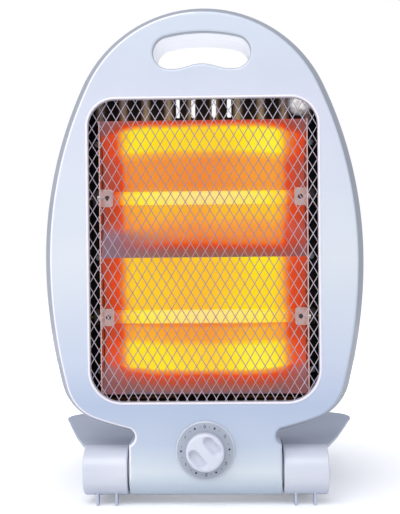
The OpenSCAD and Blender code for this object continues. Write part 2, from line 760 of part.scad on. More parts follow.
// The finger hollow beside the knob's grip bar, a slot with round ends
hollow_w = 8;
hollow_len = 18;
module finger_hollow() {
    translate([-hollow_w / 2, -hollow_len / 2 + hollow_w / 2]) square([hollow_w, hollow_len - hollow_w]);
    for (s = [-1, 1]) translate([0, s * (hollow_len - hollow_w) / 2]) circle(d = hollow_w);
}
module control_knob() place() color("white") translate([0, 0, axis_z + dial_level]) difference() {
    rotate([90, 0, 0]) rotate_extrude($fn = 96) knob_profile();
    for (s = [-1, 1]) along_y(knob_front - cut, knob_front + grip_depth)
        rotate(grip_angle) translate([s * (grip_w + hollow_w) / 2, 0]) finger_hollow();
    rod_y(0, 0, knob_front + shaft_in, knob_back + cut, shaft_d);
    difference() {
        rod_y(0, 0, knob_back - 3, knob_back + cut, nut_d + 3);
        rod_y(0, 0, knob_back - 3 - cut, knob_back - 1.6, shaft_d + 4);
    }
}
// Half of the knob's section, from its shaft outwards, with a rounded front edge
module knob_profile() {
    r = knob_d / 2;
    edge = 2.5;
    translate([0, -knob_back]) square([r, knob_h - edge]);
    translate([0, -knob_back + knob_h - edge - 0.01]) square([r - edge, edge + 0.01]);
    intersection() {
        translate([r - edge, -knob_back + knob_h - edge]) circle(r = edge);
        translate([r - edge - 0.01, -knob_back + knob_h - edge - 0.01]) square(edge + 1);
    }
}

tilt_low = axis_z + gap - sqrt(pow(barrel_r - wall, 2) - pow(tilt_depth / 2, 2));
tilt_high = tilt_low + tilt_h;
swing_pin_z = tilt_high - 6;
swing_pin_d = 2;
tilt_screw_z = tilt_high + 4;
module tilt_post() box([-tilt_at - 4, face_in_y - cut, tilt_screw_z - 4], [-tilt_at + 4, -tilt_depth / 2, tilt_screw_z + 4]);
module tilt_switch_case() place() color("darkslategray") difference() {
    union() {
        box([-tilt_at - tilt_w / 2, -tilt_depth / 2, tilt_low], [-tilt_at + tilt_w / 2, tilt_depth / 2, tilt_high]);
        box([-tilt_at - 4, -tilt_depth / 2, tilt_high], [-tilt_at + 4, -tilt_depth / 2 + tilt_wall, tilt_high + 8]);
    }
    box([-tilt_at - tilt_w / 2 + tilt_wall, -tilt_depth / 2 + tilt_wall, tilt_low + tilt_wall],
        [-tilt_at + tilt_w / 2 - tilt_wall, tilt_depth / 2 - tilt_wall, tilt_high - tilt_wall]);
    rod_x(0, swing_pin_z, -tilt_at - tilt_w, -tilt_at + tilt_w, swing_pin_d);
    rod_y(-tilt_at, tilt_screw_z, -tilt_depth / 2 - cut, -tilt_depth / 2 + tilt_wall + cut, small_screw_d);
}
module tilt_switch_pin() place() color("silver")
    rod_x(0, swing_pin_z, -tilt_at - tilt_w / 2, -tilt_at + tilt_w / 2, swing_pin_d);
module tilt_switch_screws() place() color("silver") translate([-tilt_at, -tilt_depth / 2 + tilt_wall, tilt_screw_z])
    mirror([0, 1, 0]) screw_y(small_screw_d, small_head_d, small_head_t, tilt_wall + small_grip);
module tilt_pendulum() place() color("goldenrod") difference() {
    union() {
        rod_x(0, swing_pin_z - swing_len, -tilt_at - 5, -tilt_at + 5, swing_d);
        box([-tilt_at - 1.5, -1.2, swing_pin_z - swing_len], [-tilt_at + 1.5, 1.2, swing_pin_z]);
        rod_x(0, swing_pin_z, -tilt_at - 1.5, -tilt_at + 1.5, 5);
    }
    rod_x(0, swing_pin_z, -tilt_at - 4, -tilt_at + 4, swing_pin_d + 2 * pivot_play);
}

cutout_x = -60;
cutout_z = shield_high - 15;
module thermal_cutout() place() color("burlywood") {
    rod_y(cutout_x, cutout_z, shield_back + sheet_t, shield_back + sheet_t + 7, 14);
    for (s = [-1, 1]) box([cutout_x + s * 4 - 0.4, shield_back + sheet_t + 7, cutout_z - 3],
        [cutout_x + s * 4 + 0.4, shield_back + sheet_t + 10, cutout_z + 3]);
}

block_x = -block_at;
block_z = axis_z + block_level;
block_back = back_in - terminal_post;
module terminal_posts() for (s = [-1, 1])
    rod_y(block_x + s * 8, block_z, block_back, back_in + cut, 6);
module terminal_block() place() color("ivory")
    box([block_x - terminal_w / 2, block_back - terminal_depth, block_z - terminal_h / 2],
        [block_x + terminal_w / 2, block_back, block_z + terminal_h / 2]);

gland_z = axis_z + gland_level;
gland_nut_t = 3;
module cord_gland() place() color("dimgray") difference() {
    union() {
        rod_y(gland_x, gland_z, back_in - gland_nut_t, housing_back + 6, gland_d);
        rod_y(gland_x, gland_z, housing_back, housing_back + 2.5, gland_d + 5);
        rod_y(gland_x, gland_z, back_in - gland_nut_t, back_in, gland_d + 3);
    }
    rod_y(gland_x, gland_z, back_in - 5, housing_back + 7, gland_bore);
}

// A wire through a row of points, round at its corners
module stretch(a, b, d) let (v = b - a)
    translate(a) rotate([0, acos(v[2] / norm(v)), atan2(v[1], v[0])]) cylinder(d = d, h = norm(v), $fn = 32);
module wire(points, d) for (i = [0:len(points) - 2]) {
    stretch(points[i], points[i + 1], d);
    if (i > 0) translate(points[i]) sphere(d = d * 1.06, $fn = 32);
}
// The inner wires run from the switch's tabs up out of the column and round the side plates
terminal_x = cap_out + terminal_len - lead_apart / 2;
lead_x = cap_out + terminal_len + lead_apart * 0.6;
lead_y = tube_back + lead_apart * 2.25;
lead_start = switch_y + switch_depth + tab_len + 0.2 + lead_d / 2;
lead_end = blade_t / 2 + 0.2;
under_plate = plate_low - 2 * lead_apart;
beside_plate = plate_x + lead_apart / 2;
module lead_wires() place() color("firebrick") both_sides() {
    wire([[tab_x, lead_start, axis_z + dial_level - tab_z],
        [lead_spread - 2 * lead_apart, tube_back + lead_apart, axis_z + lead_rise - 4 * lead_apart],
        [lead_spread, tube_back + 2 * lead_apart, axis_z + lead_rise],
        [beside_plate, tube_back + 1.5 * lead_apart, under_plate],
        [terminal_x, tube_back, plate_low + 3 * lead_apart],
        [terminal_x, tube_back, tube_z[1] - lead_end]], lead_d);
    wire([[tab_x, lead_start, axis_z + dial_level + tab_z],
        [lead_spread - 3 * lead_apart, tube_back + 1.5 * lead_apart, axis_z + lead_rise - 2.5 * lead_apart],
        [lead_spread, tube_back + 3 * lead_apart, axis_z + lead_rise + lead_apart],
        [beside_plate, tube_back + 3 * lead_apart, under_plate],
        [lead_x, lead_y, plate_low + 3.5 * lead_apart],
        [lead_x, lead_y, tube_z[0] - 5 * lead_apart],
        [terminal_x, tube_back, tube_z[0] - 2.5 * lead_apart],
        [terminal_x, tube_back, tube_z[0] - lead_end]], lead_d);
}
module supply_wires() place() color("black")
    for (s = [-1, 1]) let (side = s * gland_bore / 5, y = block_back - terminal_depth / 2 + 1 + s * lead_d) wire([
        [gland_x + side, back_in - gland_nut_t - 0.2 - lead_d / 2, gland_z - side],
        [gland_x + side - 2 * lead_apart, block_back - terminal_depth / 2, gland_z - side - 2 * lead_apart],
        [block_x + terminal_w / 2 + 3 * lead_apart, y, block_z + terminal_h / 2],
        [block_x + terminal_w / 2 + 0.2 + lead_d / 2, y, block_z]], lead_d);

// The stand's deck from above, the side of a floor rib and the foot blocks
module deck_plan() {
    c = [deck_half - deck_corner_r, deck_back - deck_corner_r - 1.5];
    right = concat(
        [[block_in, 0], [block_out, -8], [block_out + 7.5, 3]],
        arc(c, deck_corner_r, -12, 86, 8));
    difference() {
        polygon(concat(right, [[0, deck_back]], flip(right)));
        translate([-recess_half, -50]) square([2 * recess_half, 50 + recess_back]);
        translate([-block_in, -50]) square([2 * block_in, 50 + deck_front]);
    }
}
module rib_side() {
    under = deck_top - deck_t / 2;
    heel = deck_back - 5;
    lift = barrel_lift + 0.6;
    polygon([[-12, 0], [blade_len - 12, 0], [blade_len - 10.5, lift], [30, lift], [36, 0], [heel - 4, 0],
        [heel, 6], [heel, under], [6, under], [0, axis_z], [-12, lift + 6]]);
}
module stand() place() color("lavender") difference() {
    union() {
        both_sides() rod_x(0, axis_z, block_in, block_out, 2 * barrel_r);
        translate([0, 0, deck_top - deck_t]) linear_extrude(deck_t) deck_plan();
        both_sides() for (i = [0:1]) let (x = rib_first + i * rib_pitch)
            along_x(x - rib_t / 2, x + rib_t / 2) rib_side();
        translate([0, 0, deck_top - recess_wall_h]) linear_extrude(recess_wall_h - 1) difference() {
            union() {
                square([2 * recess_half + 2 * rib_t, 2 * recess_back + 2 * rib_t], center = true);
                translate([0, deck_front + rib_t / 2]) square([2 * block_in + 8, rib_t], center = true);
            }
            square([2 * recess_half, 2 * recess_back], center = true);
            translate([-block_in, -100]) square([2 * block_in, 100 + deck_front]);
            translate([-200, -100]) square([400, 100]);
        }
        for (y = [deck_back * 0.5, deck_back * 0.75])
            box([-rib_first, y, deck_top - recess_wall_h], [rib_first, y + rib_t, deck_top - 1]);
    }
    both_sides() rod_x(0, axis_z, block_in + block_wall, block_out - block_wall, 2 * (barrel_r - 3));
    both_sides() rod_x(0, axis_z, block_in - cut, block_in + block_wall + cut, pivot_d);
    both_sides() rod_x(0, axis_z, block_out - block_wall - cut, block_out + cut, access_d);
    both_sides() rod_x(0, axis_z, block_out - cap_rim_t, block_out + cut, access_d + 4);
}

boss_in = column_half - pivot_boss_len;
module pivot_bolts() place() color("silver") both_sides() {
    rod_x(0, axis_z, boss_in - gap, block_in + block_wall, pivot_d);
    rod_x(0, axis_z, block_in + block_wall, block_in + block_wall + pivot_head_t, pivot_head_d);
    rod_x(0, axis_z, boss_in - gap - pivot_nut_t - 1, boss_in - gap, pivot_thread_d);
}
module pivot_washers() place() color("dimgray") both_sides() difference() {
    rod_x(0, axis_z, column_half + gap, block_in, washer_d);
    rod_x(0, axis_z, column_half - cut, block_in + cut, pivot_d);
}
module pivot_nuts() place() color("silver") both_sides() difference() {
    union() {
        translate([boss_in - gap - pivot_nut_t, 0, axis_z]) rotate([0, 90, 0])
            cylinder(d = 1.9 * pivot_thread_d, h = pivot_nut_t, $fn = 6);
        rod_x(0, axis_z, boss_in - gap - 1.2, boss_in - gap, pivot_d + 6);
    }
    rod_x(0, axis_z, boss_in - gap - pivot_nut_t - cut, boss_in, pivot_thread_d);
}
cap_rim_t = 1.4;
module pivot_caps() place() color("lavender") both_sides() {
    rod_x(0, axis_z, block_out - block_wall, block_out - cap_rim_t, access_d);
    rod_x(0, axis_z, block_out - cap_rim_t, block_out, access_d + 4);
}

stand();
pivot_bolts();
pivot_washers();
pivot_nuts();
pivot_caps();
front_cover();
rear_cover();
cover_screws();
guard_mesh();
guard_frame();
guard_screws();
reflector();
side_plates();
heat_shield();
shield_screws();
quartz_tube(tube_z[0]);  // quartz_tube_upper
quartz_tube(tube_z[1]);  // quartz_tube_lower
heating_coil(tube_z[0]);  // heating_coil_upper
heating_coil(tube_z[1]);  // heating_coil_lower
ceramic_caps();
tube_terminals();
tube_brackets();
bracket_screws();
dial_ring();
rotary_switch();
switch_nut();
control_knob();
switch_shaft();
tilt_switch_case();
tilt_switch_pin();
tilt_switch_screws();
tilt_pendulum();
thermal_cutout();
terminal_block();
cord_gland();
lead_wires();
supply_wires();
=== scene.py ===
from math import acos, asin, atan2, cos, degrees, hypot, pi, radians, sin, sqrt
import bmesh
import bpy
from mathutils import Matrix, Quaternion, Vector
from mathutils.geometry import tessellate_polygon


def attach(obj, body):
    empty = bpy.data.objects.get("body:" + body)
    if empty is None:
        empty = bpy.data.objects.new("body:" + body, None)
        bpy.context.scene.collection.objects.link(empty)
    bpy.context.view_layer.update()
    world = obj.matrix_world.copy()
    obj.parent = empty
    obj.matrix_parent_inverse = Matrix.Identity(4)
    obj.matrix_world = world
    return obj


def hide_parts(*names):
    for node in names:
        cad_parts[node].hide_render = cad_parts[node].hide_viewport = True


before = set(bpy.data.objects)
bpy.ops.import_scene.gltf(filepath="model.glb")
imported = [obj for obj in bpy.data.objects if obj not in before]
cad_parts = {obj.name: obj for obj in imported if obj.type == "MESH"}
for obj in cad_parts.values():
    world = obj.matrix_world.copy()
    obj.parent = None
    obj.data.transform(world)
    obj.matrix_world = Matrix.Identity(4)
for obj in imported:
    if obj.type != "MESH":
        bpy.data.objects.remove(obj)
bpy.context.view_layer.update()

# A small quartz radiant heater. Its pieces are drawn in millimetres: x to the right, y back
# from the tilt axis, z up from the floor. The frame is in metres, its origin under the middle.

# ---- Camera: half as high as the heater, a little to its right and 75 cm in front of its
# face. It is rolled by half a degree, as the one that took the photograph was.
MM = 0.001
AXIS_Y = -59.7
FACE_Y = -20.1
AWAY = 750
FRAMED_WIDTH = 411
SENSOR = 36


def put(name, data):
    """A new object, linked to the scene."""
    thing = bpy.data.objects.new(name, data)
    bpy.context.scene.collection.objects.link(thing)
    return thing


camera = put("camera", bpy.data.cameras.new("camera"))
bpy.context.scene.camera = camera
camera.location = Vector((17, AXIS_Y + FACE_Y - AWAY, 212)) * MM
aim = Vector((-2.8, AXIS_Y + FACE_Y, 202.2)) * MM
roll = Quaternion((0, 0, 1), radians(-0.55))
camera.rotation_euler = ((aim - camera.location).to_track_quat("-Z", "Y") @ roll).to_euler()
camera.data.sensor_width = SENSOR
camera.data.lens = SENSOR * AWAY / FRAMED_WIDTH
camera.data.clip_start, camera.data.clip_end = 0.05, 20

# ---- Front cover: one moulding with the oval face, the handle's front half, the rolled lip
# round the guard's opening and the front of the round column it stands on. It is injection
# moulded glossy ABS, 2.6 mm thick, screwed to the rear cover from behind.
# The column's front is a barrel round the tilt axis, and a round bite joins it to the oval.
WALL = 2.6
PIVOT_Z = 27.0
SEAM_Y = 6.0
SEAM_GAP, SEAM_EDGE, SEAM_BEVEL = 0.1, 0.5, 0.45
BARREL_R = 20.1
COLUMN_HALF = 61.5
COLUMN_ROUND = 1.0
BITE_X, BITE_Z, BITE_R = 63.9, 57.8, 7.3

# WIDE_Z is the height at which the ovals are widest. Each oval is its half width, top and
# bottom, and the radii of its top, flank, corner and bottom.
WIDE_Z = 199.6
SEAM_OVAL = (130.6, 405.6, 52.3, 109.0, 418.0, 41.0, 269.0)
FACE_OVAL = (123.8, 398.6, 57.4, 102.0, 411.2, 35.9, 263.9)


class Shape:
    """The points and faces of one piece, with a number for each face's finish."""

    def __init__(self):
        self.points, self.faces, self.paints = [], [], []

    def ring(self, points):
        first = len(self.points)
        self.points += [tuple(p) for p in points]
        return list(range(first, len(self.points)))

    def face(self, corners, paint=0):
        self.faces.append(corners)
        self.paints.append(paint)

    def band(self, a, b, paint=0, closed=True):
        for i in range(len(a) if closed else len(a) - 1):
            j = (i + 1) % len(a)
            self.face([a[i], a[j], b[j], b[i]], paint)

    def bands(self, rings, paint=0, closed=True):
        for a, b in zip(rings, rings[1:]):
            self.band(a, b, paint, closed)

    def bar(self, rings, paint=0):
        """Bands from ring to ring and a face on both ends."""
        self.bands(rings, paint)
        self.face(rings[0], paint)
        self.face(rings[-1], paint)

    def stack(self, outline, steps):
        """Rings of one outline, each grown by a step's first value and at its second, a depth."""
        return [self.ring([(x, y, z) for x, z in outline(grow)]) for grow, y in steps]

    def flat(self, loops, paint=0):
        order = [i for loop in loops for i in loop]
        for tri in tessellate_polygon([[Vector(self.points[i]) for i in loop] for loop in loops]):
            self.face([order[k] for k in tri], paint)


def make(shape, name, materials, sharp=32):
    """Turns a shape into an object with smooth faces and sharp edges where it bends hard."""
    mesh = bpy.data.meshes.new(name)
    work = bmesh.new()
    corners = [work.verts.new((x * MM, (y + AXIS_Y) * MM, z * MM)) for x, y, z in shape.points]
    for face, paint in zip(shape.faces, shape.paints):
        loop = [corners[i] for n, i in enumerate(face) if i != face[n - 1]]
        if len(loop) > 2 and not work.faces.get(loop):
            made = work.faces.new(loop)
            made.material_index = paint
            made.smooth = True
    bmesh.ops.remove_doubles(work, verts=work.verts, dist=0.002 * MM)
    bmesh.ops.dissolve_degenerate(work, dist=0.001 * MM, edges=work.edges)
    bmesh.ops.recalc_face_normals(work, faces=work.faces)
    mark_sharp(work, sharp)
    work.to_mesh(mesh)
    work.free()
    for finish in materials:
        mesh.materials.append(finish)
    return put(name, mesh)


def mark_sharp(work, angle):
    for edge in work.edges:
        edge.smooth = len(edge.link_faces) == 2 and edge.calc_face_angle() < radians(angle)


def even_shading(piece):
    """Lets large faces carry the shading, so that the narrow rounds beside them look soft."""
    piece.modifiers.new("even_shading", "WEIGHTED_NORMAL").keep_sharp = True


def hand_over(piece, body, slot, *nodes):
    """The piece stands for CAD nodes and moves with a body. Its slot is not used."""
    if nodes:
        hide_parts(*nodes)
    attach(piece, body)


def colour(hexed):
    """Linear colour of an sRGB hex value."""
    parts = [int(hexed[i:i + 2], 16) / 255 for i in (1, 3, 5)]
    return [p / 12.92 if p <= 0.04045 else ((p + 0.055) / 1.055) ** 2.4 for p in parts] + [1.0]


def feed(node, inputs):
    """Gives a node's inputs, by name or in the order it shows them, a number, a hex colour
    or a link from another node's first output."""
    shown = [socket for socket in node.inputs if socket.enabled]
    for key, value in inputs.items() if isinstance(inputs, dict) else enumerate(inputs):
        socket = node.inputs[key] if isinstance(key, str) else shown[key]
        if isinstance(value, bpy.types.Node):
            value = next(out for out in value.outputs if out.enabled)
        if isinstance(value, bpy.types.NodeSocket):
            node.id_data.links.new(value, socket)
        else:
            socket.default_value = colour(value) if isinstance(value, str) else value


def add(tree, kind, inputs=(), stops=(), **settings):
    """Adds a node with its settings and links, and a ramp's stops: hex colours or greys. Its
    kind may be followed by a dot and its operation."""
    kind, dot, operation = kind.partition(".")
    made = tree.nodes.new("ShaderNode" + kind)
    if operation:
        made.operation = operation
    for key, value in settings.items():
        setattr(made, key, value)
    feed(made, inputs)
    if stops:
        elements = made.color_ramp.elements
        while len(elements) < len(stops):
            elements.new(0.5)
        for element, (at, value) in zip(elements, stops):
            element.position = at
            element.color = colour(value) if isinstance(value, str) else [value, value, value, 1]
    return made


def material(name, **sockets):
    """A new material, the tree of its nodes, its shader and the place on the piece."""
    made = bpy.data.materials.new(name)
    made.use_nodes = True
    shader = made.node_tree.nodes["Principled BSDF"]
    feed(shader, {key.replace("_", " "): value for key, value in sockets.items()})
    return made, made.node_tree, shader, add(made.node_tree, "TexCoord").outputs["Object"]


def moulded(name, low, high, roughness, cloud_mm=70, peel=0.05, painted_light_by_height=(), **sockets):
    """A moulded or pressed surface: clouded between two colours as its melt flowed, with an
    orange peel of 1.2 mm that breaks up its reflections. A ramp by height paints light and
    shade into it, from the floor to the top, as the light that it gets from the room changes."""
    made, tree, shader, place = material(name, Roughness=roughness, IOR=1.54, Coat_Weight=0.15,
                                         Coat_Roughness=0.12, **sockets)
    cloud = add(tree, "TexNoise", [place, 1 / (cloud_mm * MM), 2.0])
    tint = add(tree, "Mix", [cloud, low, high], data_type="RGBA")
    if painted_light_by_height:
        height = add(tree, "SeparateXYZ", [place]).outputs["Z"]
        level = add(tree, "MapRange", [height, 0.0, 400 * MM])
        run = add(tree, "ValToRGB", [level], painted_light_by_height)
        tint = add(tree, "Mix", [1.0, tint, run], data_type="RGBA", blend_type="MULTIPLY")
    grain = add(tree, "TexNoise", [place, 1 / (1.2 * MM), 3.0])
    bump = add(tree, "Bump", {"Strength": peel, "Distance": 0.1 * MM, "Height": grain})
    gloss = add(tree, "MapRange", [grain, 0.0, 1.0, roughness - 0.05, roughness + 0.07])
    feed(shader, {"Base Color": tint, "Normal": bump, "Roughness": gloss})
    return made


# The glossy pale blue face carries painted reflections of the room: soft lighter and darker bands
# by height, from its foot to its top.
abs_face = moulded("glossy_moulded_abs_pale_blue_painted_light_bands", "#d5dce3", "#dfe4e8", 0.3, painted_light_by_height=[
    (0.0, "#d6dee9"), (0.03, "#dee7f1"), (0.075, "#fafdff"), (0.13, "#dde5f3"),
    (0.205, "#d3dcf0"), (0.3, "#eaeefb"), (0.5, "#ffffff"), (0.64, "#f9f9fe"),
    (0.82, "#f8f6fd"), (0.87, "#f1f2fa"), (1.0, "#f2f5fb")])
# The side walls are textured satin and painted a darker grey for the shade they turn into, so that
# they read as a grey band beside the gloss.
abs_shaded_side = moulded("satin_moulded_abs_side_painted_shade", "#999fa9", "#aeb3bc", 0.45)
# The lip and the left edge of the face are polished in the mould and painted lighter, a painted
# highlight for the bright line they catch.
abs_highlit_lip = moulded("polished_abs_lip_painted_highlight", "#eceaf6", "#f6f2fa", 0.22, 40, 0.02)
# The hand hole's sleeve has a faint painted white glow, so that it looks as pale as the light
# behind the hole.
abs_glowing_sleeve = moulded("glossy_moulded_abs_hand_hole_painted_glow", "#e4e6ec", "#f0f1f4", 0.35,
                   Emission_Color="#ffffff", Emission_Strength=0.14)
# The inside is matt and painted near black for the shade within the housing, so that the guard
# stands before black.
abs_shaded_inside = moulded("matt_abs_inside_painted_shade", "#2a282c", "#39363a", 0.6, 30, 0.3)


def arc(x, z, r, start, end, steps):
    turn = [radians(start + (end - start) * i / steps) for i in range(steps + 1)]
    return [(x + r * cos(a), z + r * sin(a)) for a in turn]


# The points of a half outline up to the column's corner, to the oval and along the oval's
# own bottom, as half_outline lays them.
CORNER_N, UNION_N, CHORD_N = 12, 34, 9


def half_outline(oval, inset, low, column):
    """Right half of a cover's section, from its lowest point up to its top.

    low is the section's lower edge where it has the column, or None for the oval alone;
    column is the column's half width, the bite's radius and the corner's radius."""
    half, top, bottom, top_r, flank_r, corner_r, bottom_r = (
        value + inset * sign for value, sign in zip(oval, (-1, -1, 1, -1, -1, -1, -1)))
    rise = top - top_r - WIDE_Z
    side_r = (half * half + rise * rise - top_r * top_r) / (2 * (half - top_r))
    top_end = degrees(atan2(rise, side_r - half))
    ax, az, ar = half - flank_r, WIDE_Z, flank_r - corner_r
    bx, bz, br = 0, bottom + bottom_r, bottom_r - corner_r
    dx, dz = bx - ax, bz - az
    d = hypot(dx, dz)
    t = (ar * ar - br * br + d * d) / (2 * d)
    h = sqrt(ar * ar - t * t)
    cx, cz = ax + (t * dx + h * dz) / d, az + (t * dz - h * dx) / d
    flank_end = degrees(atan2(cz - az, cx - ax))
    corner_end = degrees(atan2(cz - bz, cx - bx))
    width, bite_r, round_r = column
    under = lambda x: bz - sqrt(bottom_r * bottom_r - x * x)
    first = 180 + degrees(acos((BITE_X - width) / bite_r))
    last = first
    while last > 90:
        x = BITE_X + bite_r * cos(radians(last))
        z = BITE_Z + bite_r * sin(radians(last))
        if z >= under(x) or (last < 180 and x > width):
            break
        last -= 0.25
    meet = min(x, width)
    if low is None:
        points = [(meet * i / 8, under(meet * i / 8)) for i in range(CHORD_N)]
    else:
        bite_low = BITE_Z + bite_r * sin(radians(first))
        points = [((width - round_r) * i / 8, low) for i in range(8)]
        points += arc(width - round_r, low + round_r, round_r, -90, 0, 3)
        points += [(width, low + round_r + (bite_low - low - round_r) * i / 5) for i in range(1, 5)]
        points += arc(BITE_X, BITE_Z, bite_r, first, last, 16)
        points.append((meet, under(meet)))
    start = -90 + degrees(asin(meet / bottom_r))
    points += arc(0, bz, bottom_r, start, corner_end, 10)[1:]
    points += arc(cx, cz, corner_r, corner_end, flank_end, 14)[1:]
    points += arc(ax, az, flank_r, flank_end, 0, 14)[1:]
    points += arc(half - side_r, WIDE_Z, side_r, 0, top_end, 22)[1:]
    points += arc(0, top - top_r, top_r, top_end, 90, 22)[1:]
    return points


def closed(right):
    return right + [(-x, z) for x, z in reversed(right[1:-1])]


def at_depth(y, outline):
    return [(x, y, z) for x, z in outline]


def column(inset):
    return COLUMN_HALF - inset, BITE_R + inset, COLUMN_ROUND


def barrel_low(y, r):
    return PIVOT_Z - sqrt(max(0.0, r * r - y * y))


def section(y, oval, inset=0.0, lift=0.0, wall=0.0):
    """A cover's whole section at a depth, with the column under the oval."""
    low = barrel_low(y, BARREL_R - wall) + lift
    return at_depth(y, closed(half_outline(oval, inset + wall, low, column(inset + wall))))


def front_oval(y):
    """The oval widens from the face back to the seam, a little fuller than a straight draft."""
    t = min(1, max(0, (y - FACE_Y - EDGE_R) / DRAFT_DEPTH))
    share = t * (1 + DRAFT_FULL * (1 - t))
    return [a + (b - a) * share for a, b in zip(FACE_OVAL, SEAM_OVAL)]


OPEN_X, OPEN_LOW, OPEN_TOP = 92.0, 85.8, 329.0
OPEN_LOW_R, OPEN_TOP_R = 26, 22


def opening_loop(grow):
    """The guard's opening: upright sides and four round corners."""
    right = [(30 * i, OPEN_LOW - grow) for i in range(3)]
    right += arc(OPEN_X - OPEN_LOW_R, OPEN_LOW + OPEN_LOW_R, OPEN_LOW_R + grow, -90, 0, 14)
    painted_light_by_height = OPEN_TOP - OPEN_LOW - OPEN_LOW_R - OPEN_TOP_R
    right += [(OPEN_X + grow, OPEN_LOW + OPEN_LOW_R + painted_light_by_height * i / 8) for i in range(1, 8)]
    right += arc(OPEN_X - OPEN_TOP_R, OPEN_TOP - OPEN_TOP_R, OPEN_TOP_R + grow, 0, 90, 14)
    right += [(60 - 30 * i, OPEN_TOP + grow) for i in range(3)]
    return closed(right)


HANDLE_Z = 365.9
HANDLE_SPAN, HANDLE_R, HANDLE_ARCH, HANDLE_WAVE = 26.0, 13.0, 3.0, 4.2
HANDLE_EDGE_R, HANDLE_WALL = 2.4, 2.0


def handle_loop(grow):
    """The hand hole: round ends, an arched top and a wave along the bottom for the fingers."""
    span, r = HANDLE_SPAN, HANDLE_R
    k = (span * span - HANDLE_ARCH * HANDLE_ARCH) / (2 * HANDLE_ARCH)
    tangent = degrees(atan2(k, span))
    low = HANDLE_Z - r - grow
    right = [(span * i / 14, low + HANDLE_WAVE * (1 + cos(pi * min(1, i / 12.5))) / 2)
             for i in range(14)]
    right += arc(span, HANDLE_Z, r + grow, -90, tangent, 18)
    right += arc(0, HANDLE_Z - k, k + r + HANDLE_ARCH + grow, tangent, 90, 8)[1:]
    return closed(right)


def circle(x, z, r, steps=40):
    return arc(x, z, r, 0, 360 - 360 / steps, steps - 1)


def round_hole(x, z, r, steps=40):
    """A circle for a stack, grown as its steps say."""
    return lambda grow: circle(x, z, r + grow, steps)


def flare(r, steps=6):
    """Growth and depth along the rounded edge of a hole."""
    turn = [pi / 2 * i / steps for i in range(steps + 1)]
    return [(r * (1 - sin(a)), r * (1 - cos(a))) for a in turn]


FACE, LIP, INSIDE, SIDE, FRONT_SLEEVE = range(5)
EDGE_R = 2.2
DRAFT_DEPTH, DRAFT_FULL = 19.0, 0.2
BARREL_FROM, BARREL_SWING = 27.7, 74.3
DIAL_Z, DIAL_HOLE_R = 47.2, 4.85
LIP_BACK = -14.1
front = Shape()
outer = [front.ring(section(FACE_Y + depth, front_oval(FACE_Y + depth), inset))
         for inset, depth in flare(EDGE_R)]
rounded = len(outer)
for i in range(1, 15):
    y = -BARREL_R * cos(radians(BARREL_FROM + BARREL_SWING * i / 15))
    outer.append(front.ring(section(y, front_oval(y))))
outer.append(front.ring(section(SEAM_Y - SEAM_EDGE, SEAM_OVAL)))
outer.append(front.ring(section(SEAM_Y - SEAM_GAP, SEAM_OVAL, SEAM_BEVEL, SEAM_BEVEL)))
# Along the left of the rounding the face takes the painted highlight, and the side walls take the
# painted shade grey.
for k, (a, b) in enumerate(zip(outer, outer[1:])):
    for i in range(len(a)):
        side_wall = UNION_N - 1 <= i <= len(a) - UNION_N and k >= rounded - 1
        left_edge = len(a) / 2 < i < len(a) - CORNER_N + 2 and 1 <= k < rounded - 2
        j = (i + 1) % len(a)
        front.face([a[i], a[j], b[j], b[i]], SIDE if side_wall else LIP if left_edge else FACE)
in_face = FACE_Y + WALL
inner = []
for i in range(10):
    y = SEAM_Y - SEAM_GAP + (in_face - SEAM_Y + SEAM_GAP) * sin(pi / 2 * i / 9)
    inner.append(front.ring(section(y, front_oval(y), wall=WALL)))
front.band(outer[-1], inner[0])
front.bands(inner, INSIDE)

handle = front.stack(handle_loop, [(g, FACE_Y + y) for g, y in flare(HANDLE_EDGE_R)] + [
    (0, FACE_Y + 6), (0, SEAM_Y - SEAM_EDGE), (SEAM_BEVEL, SEAM_Y - SEAM_GAP)])
# The hole's rounded edge keeps the face's finish; its steeper half and the sleeve's first 6 mm take
# the painted shade grey, and the rest of the sleeve the painted glow.
front.bands(handle[:4])
front.bands(handle[3:8], SIDE)
front.bands(handle[7:], FRONT_SLEEVE)
handle_in = front.stack(handle_loop, [(HANDLE_WALL, SEAM_Y - SEAM_GAP), (HANDLE_WALL, in_face)])
front.band(handle[-1], handle_in[0])
front.bands(handle_in, INSIDE)

bead = [(1.9, 0), (1.75, -0.3), (1.4, -0.58), (0.95, -0.7), (0.5, -0.58), (0.15, -0.25), (0, 0.3)]
lip = front.stack(opening_loop, [(g, FACE_Y + y) for g, y in bead])
front.bands(lip, LIP)
lip_in = front.stack(opening_loop, [
    (0, LIP_BACK - 0.2), (0.2, LIP_BACK), (1.8, LIP_BACK), (2, in_face)])
front.band(lip[-1], lip_in[0])
front.bands(lip_in, INSIDE)

dial_hole = front.stack(round_hole(0, DIAL_Z, DIAL_HOLE_R), [(0, FACE_Y), (0, in_face)])
front.band(dial_hole[0], dial_hole[1])
front.flat([outer[0], handle[0], lip[0], dial_hole[0]])
front.flat([inner[-1], handle_in[1], lip_in[-1], dial_hole[1]], INSIDE)
front_cover = make(front, "front_cover_shell", [abs_face, abs_highlit_lip, abs_shaded_inside, abs_shaded_side, abs_glowing_sleeve])
even_shading(front_cover)
hand_over(front_cover, "housing", "housing_front", "front_cover")

